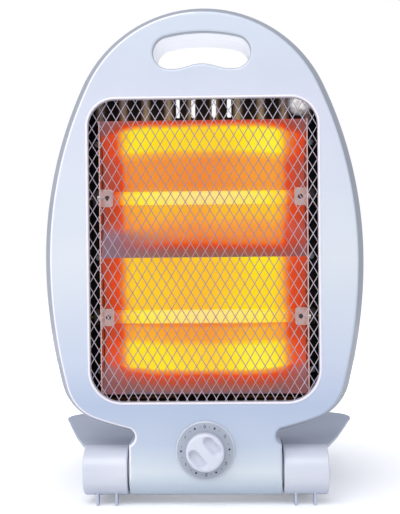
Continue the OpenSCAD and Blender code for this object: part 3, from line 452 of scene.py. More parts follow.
# ---- Rear cover: the deep half of the housing, moulded in a greyer ABS, with rows of vent
# slots at the top and bottom, the handle's rear half and deep wells that the screws go in by.
# The satin grey is even, so that the back reads as one plain shell.
abs_rear = moulded("satin_moulded_abs_grey", "#b9bec9", "#c6cad3", 0.38)
REAR_SLEEVE = 3
BACK_Y, NECK_Y = 41.0, 17.0
ROUND_W, ROUND_D = 16.0, 18.0
SCREWS = [(109.0, 174.6), (109.0, 224.6), (58, 352.4), (50, 69.2)]
WELL_R, WELL_FLOOR, POST_R = 3.5, 20.0, 5.0
LOW_SCREW_X = 22
VENT_ROWS, VENT_N, VENT_X, VENT_STEP = (329.2, 308.2, 287.2, 87.2), 5, 8.8, 13.1
VENT_W, VENT_H, VENT_R = 3.6, 16, 1.2
GLAND_X, GLAND_Z, GLAND_HOLE_R = 78.0, 91.8, 6.05
rear = Shape()
union = [rear.ring(section(y, SEAM_OVAL, inset, inset)) for y, inset in (
    (SEAM_Y + SEAM_GAP, SEAM_BEVEL), (SEAM_Y + SEAM_EDGE, 0), (9, 0), (11.5, 0), (14.2, 0),
    (NECK_Y, 0))]
rear.bands(union)


def oval_alone(wall):
    """The oval without the column, for a stack of insets."""
    return lambda inset: closed(half_outline(SEAM_OVAL, wall + inset, None, column(wall)))


rounding = [(0, NECK_Y)] + [(ROUND_W * (1 - cos(a)), BACK_Y - ROUND_D + ROUND_D * sin(a))
                            for a in (pi / 2 * i / 12 for i in range(13))]
rounds = rear.stack(oval_alone(0), rounding)
rear.bands(rounds)

# The barrel's round back, its two ends and the neck's flat back above it.
low = barrel_low(NECK_Y, BARREL_R)
right_union = half_outline(SEAM_OVAL, 0, low, column(0))
foot = [(-x, z) for x, z in right_union[CORNER_N - 1:0:-1]] + right_union[:CORNER_N]
swing = asin(NECK_Y / BARREL_R)
strips = []
for i in range(9):
    a = swing + (pi - 2 * swing) * i / 8
    strips.append([(x, NECK_Y + max(0, BARREL_R * sin(a) - NECK_Y - z + low),
                    PIVOT_Z - BARREL_R * cos(a) + (z - low) * cos(a) / cos(swing))
                   for x, z in foot])
rear.bands([rear.ring(strip) for strip in strips], closed=False)
under = len([z for x, z in right_union[CORNER_N:UNION_N] if z < strips[-1][-1][2]])
for end, side in ((0, -1), (-1, 1)):
    rear.face(rear.ring([strip[end] for strip in strips] + [
        (side * COLUMN_HALF, NECK_Y, right_union[CORNER_N + i][1]) for i in range(under, -1, -1)]))
above = right_union[CORNER_N + under:UNION_N] + oval_alone(0)(0)[:CHORD_N][::-1][1:]
neck = [(x, z) for x, y, z in strips[-1]] + above + [(-x, z) for x, z in reversed(above[:-1])]
rear.flat([rear.ring(at_depth(NECK_Y, neck))])

# The inside of the shell follows the outside.
in_neck, in_back = NECK_Y - WALL, BACK_Y - WALL
deep = [rear.ring(section(y, SEAM_OVAL, wall=WALL)) for y in (SEAM_Y + SEAM_GAP, in_neck)]
rear.band(union[0], deep[0])
rear.bands(deep, INSIDE)
deep_rounds = rear.stack(oval_alone(WALL), [(inset, y - WALL) for inset, y in rounding])
rear.bands(deep_rounds, INSIDE)
in_union = half_outline(SEAM_OVAL, WALL, barrel_low(in_neck, BARREL_R - WALL), column(WALL))
in_right = in_union[:UNION_N] + oval_alone(WALL)(0)[:CHORD_N][::-1][1:]
rear.flat([rear.ring(at_depth(in_neck, closed(in_right)))], INSIDE)

handle = rear.stack(handle_loop, [(g, BACK_Y - y) for g, y in flare(HANDLE_EDGE_R)] + [
    (0, SEAM_Y + SEAM_EDGE), (SEAM_BEVEL, SEAM_Y + SEAM_GAP)])
# The rear half of the hand hole takes the same painted glow.
rear.bands(handle, REAR_SLEEVE)
handle_in = rear.stack(handle_loop, [(HANDLE_WALL, SEAM_Y + SEAM_GAP), (HANDLE_WALL, in_back)])
rear.band(handle[-1], handle_in[0])
rear.bands(handle_in, INSIDE)

back_loops, deep_loops = [rounds[-1], handle[0]], [deep_rounds[-1], handle_in[1]]


def slot_loop(x, z, grow):
    """One vent slot: an upright with rounded corners."""
    w, h, r = VENT_W / 2 + grow, VENT_H / 2 + grow, VENT_R + grow
    right = [(x, z - h)] + arc(x + w - r, z - h + r, r, -90, 0, 3)
    right += arc(x + w - r, z + h - r, r, 0, 90, 3) + [(x, z + h)]
    return right + [(2 * x - px, pz) for px, pz in reversed(right[1:-1])]


for row_z in VENT_ROWS:
    for i in range(VENT_N):
        for side in (-1, 1):
            x = side * (VENT_X + VENT_STEP * i)
            cuts = rear.stack(lambda grow: slot_loop(x, row_z, grow), [
                (0.5, BACK_Y), (0.15, BACK_Y - 0.15), (0, BACK_Y - 0.5), (0, in_back)])
            rear.bands(cuts)
            back_loops.append(cuts[0])
            deep_loops.append(cuts[-1])
for side in (-1, 1):
    for x, z in SCREWS:
        well = rear.stack(round_hole(side * x, z, WELL_R, 32), [
            (0.4, BACK_Y), (0.12, BACK_Y - 0.12), (0, BACK_Y - 0.4), (0, WELL_FLOOR)])
        rear.bands(well)
        rear.face(well[-1])
        back_loops.append(well[0])
        post = rear.stack(round_hole(side * x, z, POST_R, 32), [(0, in_back), (0, SEAM_Y + 0.3)])
        rear.bands(post, INSIDE)
        rear.face(post[1], INSIDE)
        deep_loops.append(post[0])
cuts = rear.stack(round_hole(GLAND_X, GLAND_Z, GLAND_HOLE_R, 32), [(0, BACK_Y), (0, in_back)])
rear.bands(cuts)
rear.flat(back_loops + [cuts[0]])
rear.flat(deep_loops + [cuts[1]], INSIDE)
rear_finishes = [abs_rear, abs_highlit_lip, abs_shaded_inside, abs_glowing_sleeve]
rear_cover = make(rear, "rear_cover_shell", rear_finishes)


def stitch(work):
    """Closes the hairline gaps where a corner of one face lies on the open edge of another."""
    for turn in range(4):
        bmesh.ops.remove_doubles(work, verts=work.verts, dist=0.002 * MM)
        rims = [edge for edge in work.edges if edge.is_boundary]
        corners = {vert for edge in rims for vert in edge.verts}
        for edge in rims:
            start, end = edge.verts
            run = end.co - start.co
            if run.length < 0.01 * MM:
                continue
            for vert in corners - {start, end}:
                share = (vert.co - start.co).dot(run) / run.length_squared
                if 0.001 < share < 0.999 and (start.co + run * share - vert.co).length < 0.004 * MM:
                    bmesh.utils.edge_split(edge, start, share)[1].co = vert.co
                    break
    bmesh.ops.remove_doubles(work, verts=work.verts, dist=0.004 * MM)


def combine(base, others, operation="UNION"):
    """Joins closed pieces into one skin, or cuts them out of the first."""
    for other in others:
        step = base.modifiers.new("step", "BOOLEAN")
        step.operation, step.solver, step.object = operation, "EXACT", other
    bpy.context.view_layer.update()
    result = base.evaluated_get(bpy.context.evaluated_depsgraph_get())
    skin = bpy.data.meshes.new_from_object(result)
    base.modifiers.clear()
    base.data = skin
    for other in others:
        bpy.data.objects.remove(other)
    work = bmesh.new()
    work.from_mesh(skin)
    stitch(work)
    for face in work.faces:
        face.smooth = True
    mark_sharp(work, 32)
    work.to_mesh(skin)
    work.free()
    return base


# The two lowest screws sit in the barrel: posts that its round back is joined to, and wells.
posts, wells = [], []
for side in (-1, 1):
    for rods, r, start, end, paint in ((posts, POST_R + 0.2, SEAM_Y + 0.3, NECK_Y - 1, INSIDE),
                                       (wells, WELL_R + 0.1, 12, 26, FACE)):
        rod = Shape()
        rod.bar(rod.stack(round_hole(side * LOW_SCREW_X, PIVOT_Z - 3, r, 32),
                          [(0, start), (0, end)]), paint)
        rods.append(make(rod, "rod", rear_finishes))
combine(rear_cover, posts)
combine(rear_cover, wells, "DIFFERENCE")
even_shading(rear_cover)
hand_over(rear_cover, "housing", "housing_rear", "rear_cover")

# ---- Stand: one ABS moulding of two round foot blocks, a flared deck behind them and thin
# ribs on the floor, which keeps the heater from falling over. The housing tilts between the
# blocks on two bolts.
# The blocks' glossy off-white carries a soft painted highlight low on the barrel and painted shade
# that darkens it towards the floor.
abs_stand = moulded("glossy_moulded_abs_lilac_white_painted_light", "#cdd1de", "#e0e2ea", 0.34, 45, painted_light_by_height=[
    (0.0, "#dfe5ec"), (0.02, "#e2e8f0"), (0.05, "#ffffff"), (0.1, "#fdfdfe"), (0.12, "#f2f3f6"),
    (0.2, "#f2f3f6")])
# The deck has the mould's fine texture, which kills its gloss; it is coloured an even mid grey.
abs_deck = moulded("satin_moulded_abs_mid_grey", "#a7afbf", "#bfc6d4", 0.55, 60, 0.1)
stand_finishes = [abs_stand, abs_deck]
BLOCK, DECK = range(2)
BLOCK_IN, BLOCK_OUT, BLOCK_ROUND = 63.1, 99.5, 1.6
DECK_TOP, DECK_T = 47.1, 3.0
DECK_HALF, DECK_BACK, DECK_FRONT, DECK_CORNER_R = 135.0, 152.0, 23.58, 24.0
RECESS_X, RECESS_Y, RECESS_R = 50.0, 48.0, 3.0
RIB_X, RIB_HALF = (72.8, 88.3), 1.0
CAP_DEPTH = 1.5


def lathe(shape, profile, steps, paint=0, centre=(0.0, PIVOT_Z), side=1):
    """Turns a profile of distance and radius round the X axis."""
    rings = []
    for x, r in profile:
        if r:
            turn = (2 * pi * i / steps for i in range(steps))
            rings.append(shape.ring([(side * x, centre[0] + r * cos(a),
                                      centre[1] + r * sin(a)) for a in turn]))
        else:
            rings.append(shape.ring([(side * x, *centre)]) * steps)
    shape.bands(rings, paint)
    return rings


def offset_loop(loop, inset):
    """A closed outline, anticlockwise, drawn in by a small inset."""
    made = []
    for i, here in enumerate(loop):
        a, b = Vector(here) - Vector(loop[i - 1]), Vector(loop[(i + 1) % len(loop)]) - Vector(here)
        a.normalize()
        b.normalize()
        normal = Vector((-a[1] - b[1], a[0] + b[0]))
        scale = inset / max(0.35, normal.length_squared / 2)
        made.append((here[0] + normal[0] * scale, here[1] + normal[1] * scale))
    return made


def oblong(u0, u1, v0, v1):
    """A plan with four corners, anticlockwise."""
    return [(u0, v0), (u1, v0), (u1, v1), (u0, v1)]


def slab(shape, outline, low, high, soft, paint=0, place=lambda u, v, h: (u, v, h), holes=()):
    """A flat piece with rounded edges and holes; place says which way it lies."""
    faces = [[], []]
    for loop, way in [(outline, 1)] + [(hole, -1) for hole in holes]:
        tight, mid = offset_loop(loop, soft * way), offset_loop(loop, soft * 0.3 * way)
        stack = [(tight, low), (mid, low + soft * 0.3), (loop, low + soft), (loop, high - soft),
                 (mid, high - soft * 0.3), (tight, high)]
        rings = [shape.ring([place(u, v, h) for u, v in points]) for points, h in stack]
        shape.bands(rings, paint)
        faces[0].append(rings[0])
        faces[1].append(rings[-1])
    for loops in faces:
        shape.flat(loops, paint)


# The deck's right half from above: the recess behind the column, the notch that takes the
# foot block, the flank that flares to the back and the wide round corner.
deck_right = [(0, RECESS_Y)] + arc(RECESS_X - RECESS_R, RECESS_Y - RECESS_R, RECESS_R, 90, 0, 4)
deck_right += [(RECESS_X, DECK_FRONT), (BLOCK_IN, DECK_FRONT), (BLOCK_IN, 1.5)]
deck_right += [(BLOCK_OUT - CAP_DEPTH, 0.5), (101.0, 2.5), (103.6, 10), (107.0, 21)]
deck_right += [(111.5 + 21.5 * i / 7 - 1.1 * (i / 7) ** 2, 35 + 78 * i / 7) for i in range(8)]
deck_right += arc(DECK_HALF - DECK_CORNER_R, DECK_BACK - 25.5, DECK_CORNER_R, -8, 86, 16)
deck_right += [(70, DECK_BACK - 0.5), (0, DECK_BACK)]
deck = Shape()
slab(deck, closed(deck_right), DECK_TOP - DECK_T, DECK_TOP - 0.02, 1.0, DECK)
stand = make(deck, "stand_shell", stand_finishes)

# Each rib's side view: feet at its ends, and a back that the foot block's barrel hides.
rib_outline = [(-12, 1.0), (-11, 0), (-5, 0), (-4, 1.2), (-2.6, 7.4), (30, 7.4), (35.2, 1.0),
               (36.5, 0), (141.5, 0), (143, 0.7), (147, 6.5), (147, 45.5), (6, 45.5), (0, 27),
               (-12, 13.5)]
parts = []
for side in (-1, 1):
    block = Shape()
    rim = flare(BLOCK_ROUND, 5)
    block_in = BLOCK_IN + 0.1
    profile = [(block_in, 0), (block_in, 14)]
    profile += [(block_in + x, BARREL_R - y) for x, y in rim[::-1]]
    profile += [(BLOCK_OUT - x, BARREL_R - y) for x, y in rim]
    profile += [(BLOCK_OUT, 14), (BLOCK_OUT, 11.4)]
    profile += [(BLOCK_OUT - 0.5, 10.8), (BLOCK_OUT - CAP_DEPTH, 10.7), (BLOCK_OUT - CAP_DEPTH, 0)]
    lathe(block, profile, 112, BLOCK, side=side)
    parts.append(make(block, "block", stand_finishes))
    for x in RIB_X:
        rib = Shape()
        slab(rib, rib_outline, side * x - RIB_HALF, side * x + RIB_HALF, 0.45, BLOCK,
             lambda u, v, h: (h, u, v))
        parts.append(make(rib, "rib", stand_finishes))

# Low walls stiffen the deck from below, round its recess and across it.
wall_top, wall_low = DECK_TOP - 1.2, DECK_TOP - 12
plans = [oblong(-reach, reach, y, y + 2) for y, reach in (
    (RECESS_Y + 0.2, RECESS_X + 1), (DECK_BACK * 0.5, 74), (DECK_BACK * 0.75, 74))]
for side in (-1, 1):
    for x0, x1, y1 in ((RECESS_X + 0.3, RECESS_X + 2, RECESS_Y + 2),
                       (RECESS_X + 1.2, BLOCK_IN + 3.6, DECK_FRONT + 2)):
        plans.append(oblong(side * x0, side * x1, DECK_FRONT + 0.4, y1)[::side])
for plan in plans:
    wall = Shape()
    slab(wall, plan, wall_low, wall_top, 0.4, DECK)
    parts.append(make(wall, "wall", stand_finishes))
combine(stand, parts)
even_shading(stand)
hand_over(stand, "stand", "stand_plastic", "stand")

# ---- Pivot caps: turned-in covers of the same off-white ABS that close the holes the pivot
# bolts go in by; a shallow dish with a coin slot so that they can be twisted out.
CAP_IN, CAP_R = 97.9, 10.45
SLOT_LONG, SLOT_HALF = 5.5, 0.8
caps, slots = Shape(), Shape()
slot_plan = oblong(-SLOT_LONG, SLOT_LONG, -SLOT_HALF, SLOT_HALF)
for side in (-1, 1):
    lathe(caps, [(CAP_IN, 0), (CAP_IN, CAP_R), (BLOCK_OUT - 0.3, CAP_R), (BLOCK_OUT, CAP_R - 0.35),
                 (BLOCK_OUT, 9.2), (99.1, 8.4), (99.0, 7.5), (99.0, 0)], 64, side=side)
    slab(slots, slot_plan, 98.3, 99.4, 0.2, 0, lambda u, v, h: (side * h, u, v + PIVOT_Z))
caps = make(caps, "pivot_cap_dishes", [abs_stand])
combine(caps, [make(slots, "slots", [abs_stand])])
hand_over(caps, "stand", "stand_plastic", "pivot_caps")

# ---- Guard: a net of thin bright-plated steel wires, woven at a slant so that its meshes are
# tall diamonds. Each wire dips over and under those that cross it and ends behind the cover,
# where a frame clamps the net.
MESH_W, MESH_H, MESH_Y = 7.9, 13.3, -13.5
NET_X, NET_Z, NET_REACH = -73.7, 319.9, 2.9
WIRE_R, WEAVE = 0.35, 0.22
RIDGE_Z = 201.8


def parted(tree, place):
    """The place's own x, y and z, and how far out it is from the heater's middle."""
    split = add(tree, "SeparateXYZ", [place])
    return split, add(tree, "Math.ABSOLUTE", [split.outputs["X"]])


# The nickel glitters with a cool tint, unevenly because it has dulled in spots of 6 mm. A dull
# pink is painted on it in the middle of the opening: painted light of the glowing reflector behind
# the wires.
plated_wire, tree, shader, place = material("bright_nickel_plated_steel_wire", Metallic=0.75,
                                            Roughness=0.3)
split, reach = parted(tree, place)
dull = add(tree, "TexNoise", [place, 1 / (6 * MM), 2.0])
tint = add(tree, "Mix", [dull, "#c3bcd2", "#e2deec"], data_type="RGBA")
painted_glow_share = add(tree, "MapRange", [reach, 66 * MM, 86 * MM, 0.62, 0.0])
over = add(tree, "Math.SUBTRACT", [split.outputs["Z"], RIDGE_Z * MM])
away = add(tree, "Math.ABSOLUTE", [over])
near = add(tree, "MapRange", [away, 106 * MM, 114 * MM, 1.0, 0.0])
share = add(tree, "Math.MULTIPLY", [painted_glow_share, near])
feed(shader, {"Base Color": add(tree, "Mix", [share, tint, "#a06a68"], data_type="RGBA")})


def inside_opening(x, z, grow):
    """Whether a point lies in the guard's opening, grown by a margin."""
    corner_r = OPEN_TOP_R if z > (OPEN_LOW + OPEN_TOP) / 2 else OPEN_LOW_R
    dx = max(0, abs(x) - OPEN_X + corner_r)
    dz = max(0, z - OPEN_TOP + OPEN_TOP_R, OPEN_LOW + OPEN_LOW_R - z)
    r = corner_r + grow
    return dx * dx + dz * dz < r * r if dx and dz else dx < r and dz < r


wires = Shape()
run = Vector((MESH_W, MESH_H)).normalized()
for way in (-1, 1):
    for n in range(-46, 47):
        line = []
        for k in range(-60, 61):
            x = NET_X + n * MESH_W + way * k * MESH_W / 4
            z = NET_Z + (k - 36) * MESH_H / 4
            lift = WEAVE * way * sin(pi / 2 * (k + 1)) * (1 if n % 2 else -1)
            if inside_opening(x, z, NET_REACH):
                line.append((x, MESH_Y + lift, z))
        if len(line) < 3:
            continue
        turn = [(WIRE_R * cos(pi / 3 * i), WIRE_R * sin(pi / 3 * i))
                for i in range(6)]
        wires.bar([wires.ring([(x - run[1] * u, y + v, z + way * run[0] * u) for u, v in turn])
                   for x, y, z in line])
guard = make(wires, "guard_wires", [plated_wire], sharp=80)
hand_over(guard, "housing", "guard_wire", "guard_mesh")

# ---- Reflector: one bright aluminium sheet rolled into two deep troughs, one behind each
# tube, with a narrow lip along its top and bottom edges. It is held between the side plates.
TROUGH_H, TROUGH_D = 109.0, 27.0
SHEET_T, SHEET_FRONT, SHEET_HALF = 0.8, -6.0, 84.2
PLATE_X = 84.3
trough_r = (TROUGH_H ** 2 / 4 + TROUGH_D ** 2) / (2 * TROUGH_D)


def trough(mid, thick):
    """Front edge to front edge of one trough, as depth and height."""
    r = trough_r + thick
    half = degrees(asin(TROUGH_H / 2 / trough_r))
    return arc(TROUGH_D + SHEET_FRONT - trough_r, mid, r, -half, half, 28)


sheet = Shape()
front_side, back_side = [
    [(SHEET_FRONT + thick, RIDGE_Z - TROUGH_H - 2.6)] + trough(RIDGE_Z - TROUGH_H / 2, thick)
    + trough(RIDGE_Z + TROUGH_H / 2, thick) + [(SHEET_FRONT + thick, RIDGE_Z + TROUGH_H + 2.6)]
    for thick in (0, SHEET_T)]
walls = [sheet.ring([(SHEET_HALF * (i - 12) / 12, y, z) for y, z in front_side + back_side[::-1]])
         for i in range(25)]
sheet.bands(walls)
for end in (walls[0], walls[-1]):
    for i in range(len(front_side) - 1):
        sheet.face([end[i], end[i + 1], end[-2 - i], end[-1 - i]])

# The aluminium mirrors the tubes' glow, which is painted on as light. It is a share of heat:
# bands of height, one set for each trough, times a fall towards the ends, looked up in one
# run of glow colours from dark red to pale yellow. Shallow dents, 26 and 48 mm apart, make
# its bands wavy and uneven.
bright_sheet, tree, shader, place = material("bright_rolled_aluminium_painted_tube_glow", Metallic=0.8,
                                             Roughness=0.35, Emission_Strength=1.0)
split, reach = parted(tree, place)
wave = add(tree, "TexNoise", [place, 1 / (26 * MM), 1.0])
ripple = add(tree, "Math.MULTIPLY_ADD", [wave, 3 * MM, split.outputs["Z"]])


def band(at, *stops):
    """Shares of heat at heights or reaches in millimetres, as one ramp."""
    low, high = stops[0][0], stops[-1][0]
    level = add(tree, "MapRange", [at, low * MM, high * MM])
    return add(tree, "ValToRGB", [level], [((mm - low) / (high - low), heat) for mm, heat in stops])


half_out = add(tree, "Math.DIVIDE", [reach, PLATE_X * MM])
corner = add(tree, "Math.POWER", [half_out, 4.0])
swell = add(tree, "Math.MULTIPLY_ADD", [corner, 0.08, 1.0])
from_ridge = add(tree, "Math.SUBTRACT", [ripple, RIDGE_Z * MM])
arched = add(tree, "Math.MULTIPLY_ADD", [from_ridge, swell, RIDGE_Z * MM])
lower = band(arched, (91, 0.12), (95, 0.2), (101, 0.31), (105, 0.4), (108, 0.62), (110, 0.96),
             (128, 0.96), (133, 0.76), (143, 0.72), (146, 0.58), (149, 0.85), (200, 0.88),
             (203, 0.9))
upper = band(arched, (200, 0.0), (203.1, 0.04), (203.7, 0.2), (209, 0.27), (215, 0.49), (222, 0.6),
             (228, 0.64), (236, 0.75), (247, 0.8), (258, 0.7), (264, 0.6), (284, 0.63), (290, 0.78),
             (293, 0.96), (309, 0.98), (312, 0.5), (315, 0.28))
which = add(tree, "Math.GREATER_THAN", [split.outputs["Z"], RIDGE_Z * MM])
bands = add(tree, "Mix", [which, lower, upper])
edge = add(tree, "Math.MULTIPLY_ADD", [wave, 7 * MM, reach])
ends = band(edge, (0, 0.9), (34, 0.97), (46, 1.0), (62, 1.0), (68, 0.88), (72, 0.58), (75, 0.46),
            (80, 0.41), (86, 0.34), (92, 0.26))
even = add(tree, "MapRange", [edge, 66 * MM, 76 * MM, 0.0, 0.4])
levelled = add(tree, "Mix", [even, bands, 0.95])
lean = add(tree, "MapRange", [split.outputs["X"], -PLATE_X * MM, PLATE_X * MM, 0.93, 1.06])
dents = add(tree, "TexNoise", [place, 1 / (48 * MM), 1.0])
uneven = add(tree, "Math.MULTIPLY_ADD", [dents, 0.3, 0.85])
sides = add(tree, "Math.MULTIPLY", [lean, uneven])
share = add(tree, "Math.MULTIPLY", [levelled, ends])
heat = add(tree, "Math.MULTIPLY", [share, sides], use_clamp=True)
glow = add(tree, "ValToRGB", [heat], [
    (0.0, "#241a20"), (0.12, "#5c464c"), (0.22, "#8c4a44"), (0.3, "#b8401f"), (0.4, "#e2481a"),
    (0.55, "#f08634"), (0.7, "#f9a534"), (0.82, "#fcc62c"), (0.93, "#fee31c"), (1.0, "#fff03a")])
# On the left, low in the upper trough, a painted reflection of the dim room takes the place of the
# tube's glow.
to_left = add(tree, "MapRange", [split.outputs["X"], -74 * MM, -22 * MM, 0.85, 0.0])
above = add(tree, "Math.SUBTRACT", [ripple, 213 * MM])
off = add(tree, "Math.ABSOLUTE", [above])
low_band = add(tree, "MapRange", [off, 8 * MM, 15 * MM, 1.0, 0.0])
shade = add(tree, "Math.MULTIPLY", [to_left, low_band])
shade = add(tree, "Math.MULTIPLY", [shade, which])
# Under the painted glow the sheet's own colour runs from a mauve grey to near black as the painted
# heat rises.
mirror = add(tree, "ValToRGB", [heat], [
    (0.0, "#6c6672"), (0.24, "#463a42"), (0.4, "#1c100e"), (0.6, "#050303")])
feed(shader, {"Emission Color": add(tree, "Mix", [shade, glow, "#7d6676"], data_type="RGBA"),
              "Base Color": mirror})
reflector = make(sheet, "reflector_sheet", [bright_sheet], sharp=25)
hand_over(reflector, "housing", "mirror_sheet", "reflector")

# ---- Quartz tubes: drawn quartz, open at both ends, held by the caps that are pushed on them.
# The sand-blasted glass glows evenly along the wound part of the coil inside, nearly yellow,
# and redder at its plain ends.
TUBE_Y, TUBE_OFF = 8, 49.1
TUBE_HALF, TUBE_R, TUBE_BORE = 84, 5.5, 4.5
TUBES = {"upper": RIDGE_Z + TUBE_OFF, "lower": RIDGE_Z - TUBE_OFF}
frosted_quartz, tree, shader, place = material(
    "sand_blasted_quartz_lit_by_coil", Roughness=0.45, IOR=1.46, Base_Color="#2c2016",
    Emission_Strength=0.98)
reach = parted(tree, place)[1]
wave = add(tree, "TexNoise", [place, 1 / (18 * MM), 1.0])
edge = add(tree, "Math.MULTIPLY_ADD", [wave, 5 * MM, reach])
along = add(tree, "MapRange", [edge, 10 * MM, 84 * MM])
feed(shader, {"Emission Color": add(tree, "ValToRGB", [along], [
    (0.0, "#fce07c"), (0.35, "#fde65e"), (0.6, "#fee92e"), (0.78, "#fdc41e"), (0.84, "#ee6a1c"),
    (0.92, "#c03a1e")])})
for name, z in TUBES.items():
    tube = Shape()
    profile = [(-TUBE_HALF - 0.2, TUBE_BORE), (-TUBE_HALF - 0.2, TUBE_R - 0.2)]
    profile += [(-TUBE_HALF + 7 * i, TUBE_R) for i in range(25)]
    profile += [(TUBE_HALF + 0.2, TUBE_R - 0.2), (TUBE_HALF + 0.2, TUBE_BORE)]
    rings = lathe(tube, profile, 40, centre=(TUBE_Y, z))
    tube.band(rings[-1], rings[0])
    tube = make(tube, f"quartz_tube_{name}_glass", [frosted_quartz])
    hand_over(tube, "housing", "quartz_glass", f"quartz_tube_{name}")

# ---- Heating coils: iron-chromium resistance wire wound on a mandrel, its turns two wire
# thicknesses apart, with straight tails that run out through the end caps. The scale on the
# wire, in flecks of 3 mm, glows in two shades of orange.
COIL_HALF, COIL_R, COIL_WIRE_R = 72, 2.8, 0.36
TAIL_IN, TAIL_END = 76, 91.5
TURNS, TURN_STEPS = 56, 14
glowing_wire, tree, shader, place = material(
    "drawn_iron_chromium_wire_at_orange_heat", Metallic=0.6, Roughness=0.6, Base_Color="#5c4034",
    Emission_Strength=1.0)
scale = add(tree, "TexNoise", [place, 1 / (3 * MM), 2.0])
hot = add(tree, "ValToRGB", [scale], [(0.3, "#f0962e"), (0.7, "#fcc95a")])
feed(shader, {"Emission Color": hot})
for name, z in TUBES.items():
    coil = Shape()
    path = [(-TAIL_END, TUBE_Y, z), (-TAIL_IN, TUBE_Y, z)]
    for i in range(TURNS * TURN_STEPS + 1):
        t = i / TURN_STEPS
        r = COIL_R * min(1, t, TURNS - t)
        path.append((-COIL_HALF + 2 * COIL_HALF * t / TURNS, TUBE_Y + r * sin(2 * pi * t),
                     z + r * cos(2 * pi * t)))
    path += [(TAIL_IN, TUBE_Y, z), (TAIL_END, TUBE_Y, z)]
    rings = []
    for i, here in enumerate(path):
        ahead = (Vector(path[min(i + 1, len(path) - 1)]) - Vector(path[max(i - 1, 0)])).normalized()
        side = ahead.cross(Vector((1, 0, 0) if abs(ahead[0]) < 0.95 else (0, 1, 0)))
        side.normalize()
        over = ahead.cross(side)
        rings.append(coil.ring([
            Vector(here) + (side * cos(a) + over * sin(a)) * COIL_WIRE_R
            for a in (2 * pi * k / 5 for k in range(5))]))
    coil.bar(rings)
    coil = make(coil, f"heating_coil_{name}_winding", [glowing_wire], sharp=80)
    hand_over(coil, "housing", "heating_wire", f"heating_coil_{name}")

# ---- Brackets: four folded tabs of thin zinc-plated steel, each pressing a tube's end cap
# into its notch in the side plate and screwed to the plate from its far side.
BRACKET_W, BRACKET_H, BRACKET_T = 9.8, 14.4, 0.73


def metal(name, low, high, roughness, grain_mm, **sockets):
    """A sheet metal with rolled or drawn grain, which is rougher where it is paler."""
    made, tree, shader, place = material(name, Metallic=0.85, Roughness=roughness, **sockets)
    grain = add(tree, "TexNoise", [place, 1 / (grain_mm * MM), 4.0])
    feed(shader, {
        "Base Color": add(tree, "Mix", [grain, low, high], data_type="RGBA"),
        "Roughness": add(tree, "MapRange", [grain, 0.0, 1.0, roughness - 0.08, roughness + 0.1])})
    return made


# The plating is a dull pink, with a faint painted glow for the tubes' light on it, which sets it
# off from the dark plates.
tube_lit_zinc = metal("pink_zinc_plated_steel_painted_tube_light", "#a98f8a", "#cfbab4", 0.42, 5,
                     Emission_Color="#b08a84", Emission_Strength=0.35)
brackets = Shape()
for side in (-1, 1):
    for z in TUBES.values():
        right = PLATE_X - 0.05
        left, low, high = right - BRACKET_W, z - BRACKET_H / 2, z + BRACKET_H / 2
        tab = arc(left + 2, low + 2, 2, 180, 270, 4) + arc(right - 0.6, low + 0.6, 0.6, 270, 360, 2)
        tab += arc(right - 0.6, high - 0.6, 0.6, 0, 90, 2) + arc(left + 2, high - 2, 2, 90, 180, 4)
        eye = circle((left + right) / 2, z, 2.1, 24)
        slab(brackets, tab, 0.25, 0.25 + BRACKET_T, 0.15, 0,
             lambda u, v, h: (side * u, h, v), [eye])
        slab(brackets, oblong(-5.5, 0.9, z - 7.1, z + 7.1), right - BRACKET_T, right, 0.15, 0,
             lambda u, v, h: (side * h, u, v))
brackets = make(brackets, "bracket_tabs", [tube_lit_zinc])
hand_over(brackets, "housing", "plain_sheet", "tube_brackets")

# ---- End caps: dry-pressed steatite cups on the tubes' ends, with a moulded shoulder where
# they sit in the side plates. The tails of the coils come out through their middle. The matt
# ceramic is coloured dark and blotchy.
steatite = moulded("dark_blotchy_steatite_ceramic", "#3c3430", "#574c45", 0.6, 6, 0.3)
cups = Shape()
for side in (-1, 1):
    for z in TUBES.values():
        profile = [(76.05, 5.6), (76.05, 6.5), (76.5, 6.95), (84.2, 6.95), (84.2, 6.6), (85.2, 6.6),
                   (85.2, 6.95), (90.6, 6.95), (91.2, 6.6), (91.95, 5.2), (91.95, 0.9), (85, 0.9),
                   (85, 5.6)]
        rings = lathe(cups, profile, 40, 0, (TUBE_Y, z), side)
        cups.band(rings[-1], rings[0])
hand_over(make(cups, "end_cap_cups", [steatite]), "housing", "ceramic", "ceramic_caps")

# ---- Dial ring: a grey moulded ABS disc bonded to the column, with a polished bevelled rim.
# Its scale is pad printed: dots for the settings, and numbers where words would stand.
RING_FRONT, RING_R, RING_BORE = FACE_Y - 2.2, 23.8, 8.55
PRINT_IN, PRINT_OUT, MARK_R = RING_FRONT + 0.02, RING_FRONT - 0.05, 19.4
# The disc's even satin grey sets it off from the glossy column.
abs_ring = moulded("satin_moulded_abs_dial_grey", "#9ea6b2", "#b3bac6", 0.42, 30, 0.05)
# The smoother bevel is painted lighter than the disc, a painted highlight that shows as a thin
# bright circle round it.
abs_rim = moulded("polished_abs_bevel_painted_highlight", "#b9c0cc", "#ced4de", 0.2, 30, 0.02)
